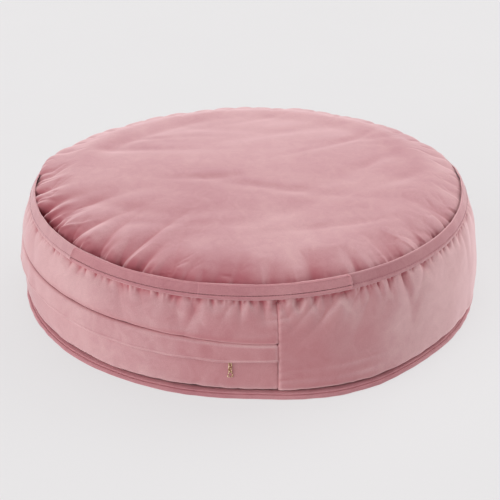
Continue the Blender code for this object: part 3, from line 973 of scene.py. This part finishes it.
def build_band_below_zip(angle):
    run = spaced((0.010, 0.0011), (0.040, 0.0022), (Profile(BELOW_LINE).length, 0.0012))
    push = base_gathers(angle, run, 54) + end_tuck(angle) + join_puckers(angle, run, 73)
    push += 0.0006 * (1.0 + ripple(angle, run, 88, (6, 26), 0.03)) * smoothstep(run / 0.01)
    panel = band_panel(BELOW_LINE, angle, run, push)
    shade = panel.section_shade(np.clip(seam_shade(angle, run), 0.0, 1.0))
    piece = loop_piece("band_below_zip", settle(panel.sections()), False, [lit_band_velvet], shade=shade)
    finish_piece(piece, "cushion", "velvet", "side_band_below_zip")


def strip_loop(line, half, turn_points=5):
    """Closed section round a centre line (rows, 2): outer face, round end, inner face, round end.
    Also gives each section point's share along the line and its side, 1 outside and -1 inside."""
    along = np.concatenate(([0.0], np.cumsum(np.linalg.norm(np.diff(line, axis=0), axis=1))))
    run = np.gradient(line, along, axis=0)
    run /= np.linalg.norm(run, axis=1, keepdims=True)
    normal = np.stack((-run[:, 1], run[:, 0]), axis=-1)
    half = np.broadcast_to(half, len(line))
    share = along / along[-1]
    turn = np.linspace(0.0, np.pi, turn_points + 2)[1:-1]
    ends = []
    for place, sign in ((-1, 1.0), (0, -1.0)):
        arc = np.cos(turn)[:, None] * normal[place] + np.sin(turn)[:, None] * run[place]
        ends.append(line[place] + sign * half[place] * arc)
    outer, inner = line + normal * half[:, None], line - normal * half[:, None]
    section = np.vstack((outer, ends[0], inner[::-1], ends[1]))
    shares = np.concatenate((share, np.ones(turn_points), share[::-1], np.zeros(turn_points)))
    side = np.concatenate((np.ones(len(line)), np.cos(turn), -np.ones(len(line)), -np.cos(turn)))
    end_normal, start_normal = (np.tile(normal[place], (turn_points, 1)) for place in (-1, 0))
    normals = np.vstack((normal, end_normal, normal[::-1], start_normal))
    return section, shares, side, normals


def strip_sections(angle, line, half, sway, relief=None, height_sway=None):
    """A folded strip turned about the axis. `sway` moves both faces outwards, `relief` only the outer one."""
    section, shares, side, normals = strip_loop(line, half)
    move = sway(angle[:, None], shares[None, :])
    if relief is not None:
        move = move + relief(angle[:, None], shares[None, :]) * np.clip(side, 0.0, 1.0)[None, :]
    radius = section[:, 0] + normals[:, 0] * move
    height = section[:, 1] + normals[:, 1] * move
    if height_sway is not None:
        height = height + height_sway(angle[:, None], shares[None, :])
    return lathe(angle[:, None], radius, height)


def build_flap(angle):
    profile = Profile(FLAP_LINE)
    run = spaced((0.006, 0.0008), (0.020, 0.0016), (profile.length, 0.0007))
    line, normal = profile.at(run)
    foot = profile.length
    half = 0.001 * by_share(run, ((0.0, 0.7), (foot - 0.006, 0.75), (foot - 0.0025, 1.25), (foot, 1.0)))

    def sway(angle, share):
        wave = 0.0008 * turn_noise(angle, 90, 8, 34) * share + 0.0005 * turn_noise(angle, 91, 20, 70) * share
        return wave - end_tuck(angle[:, 0], 0.0020, 0.0026)

    def relief(angle, share):
        hem = 0.0006 * bell(share - 0.955, 0.035)
        return hem + 0.0003 * turn_noise(angle, 92, 20, 80) * plateau(share)

    def height_sway(angle, share):
        return 0.0007 * turn_noise(angle, 93, 7, 40) * share

    points = strip_sections(angle, line - normal * half[:, None], half, sway, relief, height_sway)
    height = points[..., 2]
    lifted = by_angle(angle, FLAP_LIFT)[:, None] * np.clip((0.078 - height) / 0.015, 0.0, 1.0)
    points[..., :2] *= (1.0 + (bulged(angle, height) + lifted) / BAND_RADIUS)[..., None]
    points[..., 2] += 2.0 * lifted
    points = settle(rise_to_crease(points, angle, 0.140, 0.050))
    # Painted shadow under the crease at the flap's top, and painted shade along the join seam.
    under_crease = bell(strip_loop(line, half)[1], 0.11)
    near = (angle[-1] - angle) * DEGREE
    shade = np.clip(0.8 * under_crease + 0.9 * bell(near, SEAM_SHADOW)[:, None], 0.0, 1.0)
    piece = loop_piece("zip_cover_flap", points, False, [lit_band_velvet], shade=shade)
    finish_piece(piece, "cushion", "velvet", "zip_flap")


# --- threads


def stitches(spots, outwards, along, length, thick, start):
    """Short fat threads, one at each spot, lying along the seam. Returns their points and faces."""
    shares = np.array((-1.0, -0.72, 0.0, 0.72, 1.0))
    girth = np.array((0.35, 0.85, 1.0, 0.85, 0.35))
    sink = np.array((-0.9, -0.15, 0.25, -0.15, -0.9))
    turn = np.arange(6) * np.pi / 3.0
    side = np.cross(along, outwards)
    middle = (
        spots[:, None, :]
        + along[:, None, :] * (shares * length / 2.0)[None, :, None]
        + outwards[:, None, :] * (sink * thick)[None, :, None]
    )
    ring = (
        outwards[:, None, None, :] * np.cos(turn)[None, None, :, None]
        + side[:, None, None, :] * np.sin(turn)[None, None, :, None]
    ) * (girth * thick)[None, :, None, None]
    points = (middle[:, :, None, :] + ring).reshape(-1, 3)
    faces = []
    for number in range(len(spots)):
        faces += loop_faces(5, 6, False, start + number * 30)
    return points, faces


def seam_stitches(angle_from, angle_to, pitch, line_spot, line_normal, start, seed, length=0.0024,
                  thick=0.00038):
    """A row of stitches on a turned surface at one (radius, height) with that outward normal."""
    count = round(abs(angle_to - angle_from) * DEGREE / pitch)
    rng = np.random.default_rng(seed)
    angle = angle_from + (np.arange(count) + 0.5) * (angle_to - angle_from) / count
    angle = angle + rng.normal(0.0, 0.04, count)
    spots = lathe(angle, *line_spot)
    outwards = outward(angle) * line_normal[0] + np.array((0.0, 0.0, 1.0)) * line_normal[1]
    along = tangent(angle)
    tilt = rng.normal(0.10, 0.05, count)[:, None]
    along = along + np.cross(outwards, along) * tilt
    along /= np.linalg.norm(along, axis=1, keepdims=True)
    return stitches(spots, outwards, along, length, thick, start)


def with_stitches(name, sections, closed, stitch_row, materials):
    """A strip and the row of stitches on it, as one piece with two materials."""
    columns, rows = sections.shape[:2]
    cloth_points, cloth_faces = sections.reshape(-1, 3), loop_faces(columns, rows, closed)
    if enclosed(cloth_points, cloth_faces) < 0.0:
        cloth_faces = [face[::-1] for face in cloth_faces]
    start = len(cloth_points)
    row_points, row_faces = stitch_row(start)
    if enclosed(row_points, [[corner - start for corner in face] for face in row_faces]) < 0.0:
        row_faces = [face[::-1] for face in row_faces]
    kind = [0] * len(cloth_faces) + [1] * len(row_faces)
    points = np.vstack((cloth_points, row_points))
    return make_piece(name, points, cloth_faces + row_faces, materials, face_material=kind)


# --- welts

FLOOR_GAP = 0.0002
WELT_TOP = np.array((0.3185, 0.1610))
WELT_FOOT = np.array((0.3262, 0.1466))
WELT_THICKNESS = 0.0026
WELT_FOLD = ((0.0, 0.90), (0.06, 1.18), (0.16, 1.0), (0.72, 0.98), (0.84, 0.62), (1.0, 0.85))
WELT_TUCK = np.array((-0.006, -0.017))
WELT_ROWS = 24
BASE_WELT_LINE = (
    (0.3286, 0.0076), (0.3316, 0.0080), (0.3346, 0.0079), (0.3378, 0.0066), (0.3402, 0.0042),
    (0.3412, 0.0014),
)
BASE_WELT_RADIUS = 0.340
BASE_WELT_HALF = 0.0011
BASE_WELT_FOLD = (
    (0.0, 0.8), (0.45, 1.0), (0.60, 1.15), (0.65, 0.9), (0.69, 0.40), (0.74, 0.95), (0.92, 1.15), (1.0, 0.9),
)
WELT_HUG = ((-180, 0.0020), (-110, 0.0020), (-75, 0.0014), (-50, 0.0), (50, 0.0), (75, 0.0014), (110, 0.0020))


def lean_normal():
    run = (WELT_FOOT - WELT_TOP) / np.linalg.norm(WELT_FOOT - WELT_TOP)
    return np.array((-run[1], run[0]))


def welt_sway(angle, share):
    """The free edge wanders a little in and out; the sewn foot stays."""
    free = (1.0 - share) ** 1.4
    pushed = 0.0024 * by_angle(angle, BACK_FULLNESS)
    return free * (pushed + 0.0007 * turn_noise(angle, 101, 3, 14) + 0.0003 * turn_noise(angle, 102, 14, 60))


def build_top_welt():
    drop = WELT_FOOT - WELT_TOP
    share = np.linspace(0.0, 1.20, WELT_ROWS)
    line = WELT_TOP + np.minimum(share, 1.0)[:, None] * drop - lean_normal() * WELT_THICKNESS / 2.0
    line += np.maximum(share - 1.0, 0.0)[:, None] * WELT_TUCK
    half = WELT_THICKNESS / 2.0 * by_share(share, WELT_FOLD)

    def relief(angle, share):
        puckers = 0.00022 * turn_noise(angle, 103, 90, 260) * bell(share - 0.84, 0.10)
        return puckers + 0.00018 * turn_noise(angle, 104, 30, 90) * plateau(share)

    def height_sway(angle, share):
        sunk = 0.0080 * by_angle(angle, BACK_FULLNESS)
        return (0.0005 * turn_noise(angle, 105, 4, 22) - sunk) * (1.0 - share)

    angle = turn_angles(-180.0, 360.0, TURN_COLUMNS, True)
    sections = strip_sections(angle, line, half, welt_sway, relief, height_sway)
    stitch_spot = WELT_TOP + 0.855 * drop - lean_normal() * 0.00040

    def stitch_row(start):
        points, faces = seam_stitches(-180.0, 180.0, 0.0041, stitch_spot, lean_normal(), start, 7)
        return settle(points), faces

    piece = with_stitches("rim_welt", settle(sections), True, stitch_row, [welt_velvet, thread])
    finish_piece(piece, "cushion", "velvet", "top_welt")


def build_base_welt():
    profile = Profile(BASE_WELT_LINE)
    run = spaced((profile.length, 0.0006))
    line, _ = profile.at(run)
    share = run / profile.length
    half = BASE_WELT_HALF * by_share(share, BASE_WELT_FOLD)

    def sway(angle, share):
        return share * (0.0006 * turn_noise(angle, 111, 8, 30) + 0.0004 * turn_noise(angle, 112, 30, 90))

    def height_sway(angle, share):
        return 0.0003 * (1.0 + turn_noise(angle, 113, 10, 46)) * share

    def groove(angle, share):
        return -0.0010 * bell(share - 0.66, 0.04) + 0.0 * angle

    angle = turn_angles(-180.0, 360.0, TURN_COLUMNS, True)
    sections = strip_sections(angle, line, half, sway, groove, height_sway)
    reach = by_angle(angle, FLARE) - by_angle(angle, WELT_HUG)
    sections[..., :2] *= (1.0 + reach / BASE_WELT_RADIUS)[:, None, None]
    sections[..., 2] = np.maximum(sections[..., 2], FLOOR_GAP)
    piece = loop_piece("foot_welt", settle(sections), True, [shaded_strap_velvet])
    finish_piece(piece, "cushion", "velvet", "base_welt")


# --- carry handle

STRAP_THICKNESS = 0.0030
STRAP_GAP = 0.0009
STRAP_DROP_SHARE = 1.08
STRAP_COLUMNS = 420
GROOVE_SHARE = 0.78  # where the strap's stitched groove runs, from its free edge to its foot
STRAP_CORNER = 0.0034
STRAP_FOLD = (
    (0.0, 0.75), (0.05, 1.16), (0.13, 0.86), (0.66, 0.90), (0.72, 1.00), (0.76, 0.86), (GROOVE_SHARE, 0.60),
    (0.80, 0.60), (0.84, 0.90), (0.89, 1.12), (0.95, 1.00), (1.0, 0.60),
)
STITCH_INSET = 0.9  # degrees
LIFT_HEIGHT = 0.154


def strap_relief(angle, share):
    hem = 0.00030 * turn_noise(angle, 123, 110, 300) * bell(share - GROOVE_SHARE, 0.07)
    hem = hem - 0.0017 * bell(share - GROOVE_SHARE, 0.022)
    return hem + 0.00025 * turn_noise(angle, 124, 24, 80) * plateau(share)


def strap_sway(angle, share):
    return 0.0004 * turn_noise(angle, 121, 8, 40) * np.abs(share - 0.5) * 2.0


def build_strap(side, towards):
    """Half of the strap. Its middle lies to the right of its sewn end (towards 1) or to the left (-1)."""
    tab = HANDLE_MIDDLE - towards * HANDLE_HALF
    drop = WELT_FOOT - WELT_TOP
    share = np.linspace(0.0, STRAP_DROP_SHARE, 56)
    middle = STRAP_GAP + STRAP_THICKNESS / 2.0
    line = WELT_TOP + share[:, None] * drop + lean_normal() * middle
    place = share / STRAP_DROP_SHARE
    half = STRAP_THICKNESS / 2.0 * by_share(place, STRAP_FOLD)
    angle = np.linspace(*sorted((tab, HANDLE_MIDDLE)), STRAP_COLUMNS)
    sections = strip_sections(angle, line, half, strap_sway, strap_relief)
    # The sewn end is turned under: a slightly thicker fold, rounded off.
    from_end = np.abs(angle - tab) * DEGREE
    fold = 1.0 + 0.75 * bell(from_end - 0.0026, 0.0019)
    rounding = np.sqrt(np.clip(1.0 - (1.0 - np.clip(from_end / 0.0013, 0.0, 1.0)) ** 2, 0.04, 1.0))
    shares = strip_loop(line, half)[1]
    spine = lathe(angle[:, None], np.interp(shares, place, line[:, 0]), np.interp(shares, place, line[:, 1]))
    sections = spine + (sections - spine) * (fold * rounding)[:, None, None]
    # Its corners are rounded too: they draw back towards the middle of the strap.
    near_end = np.clip(1.0 - from_end / 0.010, 0.0, 1.0)[:, None]
    drawn = STRAP_CORNER * np.abs(2.0 * shares - 1.0) ** 5 * near_end
    sections = turned(sections, drawn / SEAM_RADIUS * towards)
    groove = GROOVE_SHARE * STRAP_DROP_SHARE
    stitch_spot = WELT_TOP + groove * drop + lean_normal() * (STRAP_GAP + STRAP_THICKNESS * 0.70)
    low, high = sorted((tab + towards * STITCH_INSET, HANDLE_MIDDLE))

    def stitch_row(first):
        return seam_stitches(low, high, 0.0036, stitch_spot, lean_normal(), first, 9, 0.0022, 0.00032)

    piece = with_stitches(f"handle_{side}_half", sections, False, stitch_row, [shaded_strap_velvet, thread])
    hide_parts(f"handle_tab_{side}", "carry_handle")
    root_angle = HANDLE_MIDDLE - towards * (HANDLE_HALF - TAB_ANGLE)
    root = Vector(lathe(root_angle, SEAM_RADIUS, LIFT_HEIGHT))
    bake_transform(piece)


def build_handle():
    build_strap("left", 1.0)
    build_strap("right", -1.0)


# --- gold chain and slider


def wire(points, radius, closed, sides=10):
    """Points and faces of a round wire along a line, with frames carried along it."""
    points = np.asarray(points, float)
    ahead = np.roll(points, -1, axis=0) - points
    behind = points - np.roll(points, 1, axis=0)
    run = ahead + behind
    if not closed:
        run[0], run[-1] = ahead[0], behind[-1]
    run /= np.linalg.norm(run, axis=1, keepdims=True)
    plane = np.linalg.svd(points - points.mean(0))[2][2]
    side = plane - run * (run @ plane)[:, None]
    side /= np.linalg.norm(side, axis=1, keepdims=True)
    third = np.cross(run, side)
    turn = 2.0 * np.pi * np.arange(sides) / sides
    ring = side[:, None] * np.cos(turn)[None, :, None] + third[:, None] * np.sin(turn)[None, :, None]
    return (points[:, None] + ring * radius).reshape(-1, 3), loop_faces(len(points), sides, closed)


def stadium(length, width, count=16):
    half = width / 2.0
    turn = np.linspace(0.0, np.pi, count)
    top = np.stack((half * np.cos(turn), -half + half * np.sin(turn)), axis=-1)
    foot = np.stack((-half * np.cos(turn), half - length - half * np.sin(turn)), axis=-1)
    return np.vstack((top, foot))


def pull_ring_outline():
    corners = ((0.0, -0.0017, 0.0017), (-0.0024, -0.0078, 0.0012), (0.0024, -0.0078, 0.0012))
    points = []
    for number, (across, along, radius) in enumerate(corners):
        turn = np.radians(90.0 + 120.0 * number + np.linspace(-60.0, 60.0, 13))
        points.append(np.stack((across + radius * np.cos(turn), along + radius * np.sin(turn)), axis=-1))
    return np.vstack(points)


def hung_outline(outline, top_height, twist):
    turn = math.radians(twist)
    spots = lathe(SLIDER_ANGLE, CHAIN_RADIUS + outline[:, 0] * math.sin(turn), top_height + outline[:, 1])
    return spots + tangent(SLIDER_ANGLE) * (outline[:, 0] * math.cos(turn))[:, None]


def build_chain():
    height = CHAIN_HEIGHT
    for number, twist in enumerate(LINK_TWISTS, 1):
        outline = hung_outline(stadium(LINK_LENGTH, LINK_WIDTH), height + LINK_HANG, twist)
        piece = make_piece(f"gold_link_{number}", *wire(outline, WIRE / 2.0, True), [gold], crisp=0)
        finish_piece(piece, f"link_{number}", "gold_metal", f"chain_link_{number}")
        height += LINK_HANG - LINK_LENGTH
    outline = hung_outline(pull_ring_outline(), height + LINK_HANG, RING_TWIST)
    piece = make_piece("gold_ring", *wire(outline, WIRE / 2.0, True), [gold], crisp=0)
    finish_piece(piece, "ring", "gold_metal", "pull_ring")


def build_pull_loop():
    top_radius = PLATE_RADIUS + CLEARANCE + WIRE / 2.0
    top_height = ZIP_HEIGHT + 0.0008
    length = top_height - CHAIN_HEIGHT
    slope = (CHAIN_RADIUS - top_radius) / length
    outline = stadium(length, PULL_LOOP_WIDTH)
    spots = lathe(SLIDER_ANGLE, top_radius - slope * outline[:, 1], top_height + outline[:, 1])
    spots = spots + tangent(SLIDER_ANGLE) * outline[:, :1]
    piece = make_piece("gold_pull_loop", *wire(spots, WIRE / 2.0, True), [gold], crisp=0)
    finish_piece(piece, "slider", "gold_metal", "pull_loop")

    foot = PLATE_RADIUS + CLEARANCE
    reach = foot + WIRE + 0.0006
    upper, lower = ZIP_HEIGHT + 0.0026, ZIP_HEIGHT - 0.0042
    bridge = smooth_line((
        (foot, upper), (reach - 0.0005, upper - 0.0001), (reach, upper - 0.0006), (reach, lower + 0.0006),
        (reach - 0.0005, lower + 0.0001), (foot, lower),
    ), 5)
    spots = lathe(SLIDER_ANGLE, bridge[:, 0], bridge[:, 1])
    piece = make_piece("gold_bridge", *wire(spots, WIRE / 2.0, False), [gold], crisp=60)
    finish_piece(piece, "slider", "gold_metal", "slider_bridge")


def carry_over(node, material):
    """Shows a CAD part itself, with a worked-out material in place of its plain one."""
    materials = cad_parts[node].data.materials
    materials.clear()
    materials.append(material)


# --- zip

TAPE_END_GAP = 0.25
TAPE_WIDTH = 0.0122
TAPE_HALF = 0.00035
TAPE_ROWS = 12
COIL_END_GAP = 1.4
COIL_PITCH = 0.0030
COIL_POINTS = 9
COIL_OFFSET = 0.00175
COIL_RADIUS = 0.00115
COIL_THREAD = 0.00038


def build_tapes():
    angle = turn_angles(JOIN_ANGLE - 180.0 + TAPE_END_GAP, 180.0 - 2.0 * TAPE_END_GAP, HALF_COLUMNS, False)
    for name, side in (("upper", 1.0), ("lower", -1.0)):
        edge = ZIP_HEIGHT + side * CLEARANCE
        heights = np.linspace(edge, edge + side * TAPE_WIDTH, TAPE_ROWS)
        heights = heights[::-1] if side > 0 else heights
        line = np.stack((np.full(TAPE_ROWS, TAPE_RADIUS - TAPE_HALF), heights), axis=-1)

        def sway(angle, share, seed=130 + int(side)):
            return 0.00025 * turn_noise(angle, seed, 10, 60) * np.sin(np.pi * share)

        sections = strip_sections(angle, line, TAPE_HALF, sway)
        piece = loop_piece(f"tape_{name}", settle(sections), False, [tape_cloth])
        finish_piece(piece, "cushion", "zip_tape", f"zip_tape_{name}")


def build_coils():
    first = JOIN_ANGLE - 180.0 + ZIP_END_GAP + COIL_END_GAP
    sweep = 180.0 - 2.0 * ZIP_END_GAP - 2.0 * COIL_END_GAP
    turns = int(math.radians(sweep) * TAPE_RADIUS / COIL_PITCH)
    count = turns * COIL_POINTS
    for name, side, shift in (("upper", 1.0, 0.0), ("lower", -1.0, 0.5)):
        step = np.arange(count)
        phase = 2.0 * np.pi * (step / COIL_POINTS + shift)
        angle = first + (step + 0.5) * sweep / count
        radius = TAPE_RADIUS + COIL_OFFSET + COIL_RADIUS * np.cos(phase)
        height = ZIP_HEIGHT + side * (0.00125 + COIL_RADIUS * np.sin(phase))
        spots = settle(lathe(angle, radius, height))
        piece = make_piece(f"coil_{name}", *wire(spots, COIL_THREAD, False, 6), [coil_nylon], crisp=60)
        finish_piece(piece, "cushion", "zip_coil", f"zip_coil_{name}")


# --- inner pad

CASE_TOP_LINE = (
    (0.3020, 0.1330), (0.2960, 0.1400), (0.280, 0.1510), (0.255, 0.1600), (0.220, 0.1672), (0.170, 0.1722),
    (0.090, 0.1758), (0.0, 0.1770),
)
CASE_SIDE_LINE = (
    (0.3028, 0.1320), (0.3100, 0.1220), (0.3160, 0.1060), (0.3185, 0.0880), (0.3190, 0.0560),
    (0.3165, 0.0300), (0.3110, 0.0140),
)
CASE_BASE_LINE = ((0.3102, 0.0130), (0.3040, 0.0070), (0.2900, 0.0044), (0.1500, 0.0036), (0.0, 0.0036))
CASE_CLOTH = 0.0008
FIBRE_INSET = 0.0028
PAD_COLUMNS = 480
pad_turn = turn_angles(-180.0, 360.0, PAD_COLUMNS, True)


def case_push(angle, run, seed, depth):
    fine = gathers(seed, 0.020, depth, 0.004, 0.020, None, 0.15)
    long = gathers(seed + 1, 0.060, 1.4 * depth, 0.008, 0.060, None, 0.25)
    return crease_field(angle, run, np.vstack((fine, long)))


def build_case_disc(name, node, line, creased, outwards):
    run = spaced((0.060, 0.004), (Profile(line).length - 0.006, 0.012))
    panel = Panel(line, pad_turn, run, case_push(pad_turn, run, 151, creased), outwards)
    piece = disc_piece(name, disc_rings(panel, CASE_CLOTH), [case_cloth])
    finish_piece(piece, "cushion", "inner_case_cloth", node)


def build_case_side():
    run = spaced((Profile(CASE_SIDE_LINE).length, 0.004))
    panel = Panel(CASE_SIDE_LINE, pad_turn, run, case_push(pad_turn, run, 153, 0.0006))
    piece = loop_piece("pad_case_side", settle(panel.sections(CASE_CLOTH, 2)), True, [case_cloth])
    finish_piece(piece, "cushion", "inner_case_cloth", "inner_case_side")


def build_fibre():
    profile = Profile(CASE_TOP_LINE[:0:-1] + CASE_SIDE_LINE[1:-1] + CASE_BASE_LINE[1:])
    run = spaced((profile.length - 0.008, 0.008))[1:]
    spot, normal = profile.at(run)
    deep = FIBRE_INSET + 0.0016 * (1.0 + ripple(pad_turn, run, 170, (4, 20), 0.05))
    deep += 0.0009 * ripple(pad_turn, run, 190, (20, 60), 0.02)
    radius = spot[:, 0] - normal[:, 0] * deep
    height = spot[:, 1] - normal[:, 1] * deep
    rings = settle(lathe(pad_turn[:, None], radius, height))
    piece = disc_piece("pad_fibre", [rings[:, row] for row in range(len(run))], [fibre])
    finish_piece(piece, "cushion", "fibre", "fibre_fill")


# --- surroundings

# Big soft lights: where each stands round the cushion, how high, and how strong it is.
STUDIO_LIGHTS = (
    ("left", -68.0, 32.0, 1.12),
    ("front_left", -36.0, 32.0, 0.48),
    ("low_left", -46.0, 8.0, 0.54),
    ("low_front", 0.0, 8.0, 0.12),
    ("right", 90.0, 32.0, 0.72),
    ("back_right", 135.0, 32.0, 1.29),
    ("high_back", 180.0, 60.0, 1.04),
    ("above", 0.0, 90.0, 0.27),
)
LIGHT_SIZE = 45.0
WALL_STRENGTH = 0.64
FLOOR_HALF = 14.0
FLOOR_DEPTH = 0.0004
FLOOR_GLOW = (1.0, 0.984, 0.992, 1.0)
FLOOR_GLOW_STRENGTH = 0.656
CAMERA_PLACE = (0.0, -1.7744, 1.0029)
CAMERA_AIM = (0.002, -0.0166, 0.0489)
CAMERA_LENS = 94.3
WALL_LIGHT = ((0.16, (1.0, 0.99, 0.995, 1.0)), (0.40, (0.06, 0.06, 0.06, 1.0)))


def build_stage():
    mesh = bpy.data.meshes.new("floor")
    signs = ((-1, -1), (1, -1), (1, 1), (-1, 1))
    corners = [(x * FLOOR_HALF, y * FLOOR_HALF, -FLOOR_DEPTH) for x, y in signs]
    mesh.from_pydata(corners, [], [(0, 1, 2, 3)])
    m = Shading("floor_paper")
    m.colour(m.ramp(m.noise(3.0, 2.0), (0.3, (0.137, 0.135, 0.136)), (0.7, (0.143, 0.141, 0.142))))
    m.set(Roughness=0.9, Specular_IOR_Level=0.05)
    m.set(Emission_Color=FLOOR_GLOW, Emission_Strength=FLOOR_GLOW_STRENGTH)
    mesh.materials.append(m.material)
    floor = bpy.data.objects.new("floor", mesh)
    bpy.context.scene.collection.objects.link(floor)

    world = bpy.data.worlds.new("studio")
    bpy.context.scene.world = world
    world.use_nodes = True
    # A pale wall all round, low down, and hardly any light above it.
    nodes, links = world.node_tree.nodes, world.node_tree.links
    height = nodes.new("ShaderNodeSeparateXYZ")
    links.new(nodes.new("ShaderNodeTexCoord").outputs["Generated"], height.inputs[0])
    wall = nodes.new("ShaderNodeValToRGB")
    wall.color_ramp.interpolation = "EASE"
    for element, (position, colour) in zip(wall.color_ramp.elements, WALL_LIGHT):
        element.position, element.color = position, colour
    links.new(height.outputs["Z"], wall.inputs["Fac"])
    links.new(wall.outputs["Color"], nodes["Background"].inputs["Color"])
    nodes["Background"].inputs["Strength"].default_value = WALL_STRENGTH

    for name, turn, rise, strength in STUDIO_LIGHTS:
        sun = bpy.data.lights.new(name, "SUN")
        sun.energy = strength
        sun.angle = math.radians(LIGHT_SIZE)
        lamp = bpy.data.objects.new(name, sun)
        lamp.rotation_mode = "QUATERNION"
        turn, rise = math.radians(turn), math.radians(rise)
        towards = (math.sin(turn) * math.cos(rise), -math.cos(turn) * math.cos(rise), math.sin(rise))
        lamp.rotation_quaternion = Vector(towards).to_track_quat("Z", "Y")
        bpy.context.scene.collection.objects.link(lamp)


def build_camera():
    data = bpy.data.cameras.new("view")
    data.lens = CAMERA_LENS
    data.sensor_width = 36.0
    data.clip_start, data.clip_end = 0.05, 60.0
    camera = bpy.data.objects.new("view", data)
    camera.location = CAMERA_PLACE
    camera.rotation_mode = "QUATERNION"
    camera.rotation_quaternion = (camera.location - Vector(CAMERA_AIM)).to_track_quat("Z", "Y")
    bpy.context.scene.collection.objects.link(camera)
    bpy.context.scene.camera = camera
    bpy.context.scene.view_settings.view_transform = "Standard"


build_top_panel()
build_bottom_panel()
build_plain_band()
zip_side = half_angles(JOIN_ANGLE - 180.0)
build_band_above_zip(zip_side)
build_band_below_zip(zip_side)
build_flap(zip_side)
build_top_welt()
build_base_welt()
build_handle()
build_chain()
build_pull_loop()
carry_over("zip_slider", gold)
build_tapes()
build_coils()
carry_over("zip_top_stop", coil_nylon)
carry_over("zip_bottom_stop", coil_nylon)
build_case_disc("pad_case_top", "inner_case_top", CASE_TOP_LINE, 0.0007, -1.0)
build_case_side()
build_case_disc("pad_case_base", "inner_case_bottom", CASE_BASE_LINE, 0.0, 1.0)
build_fibre()
build_stage()
build_camera()
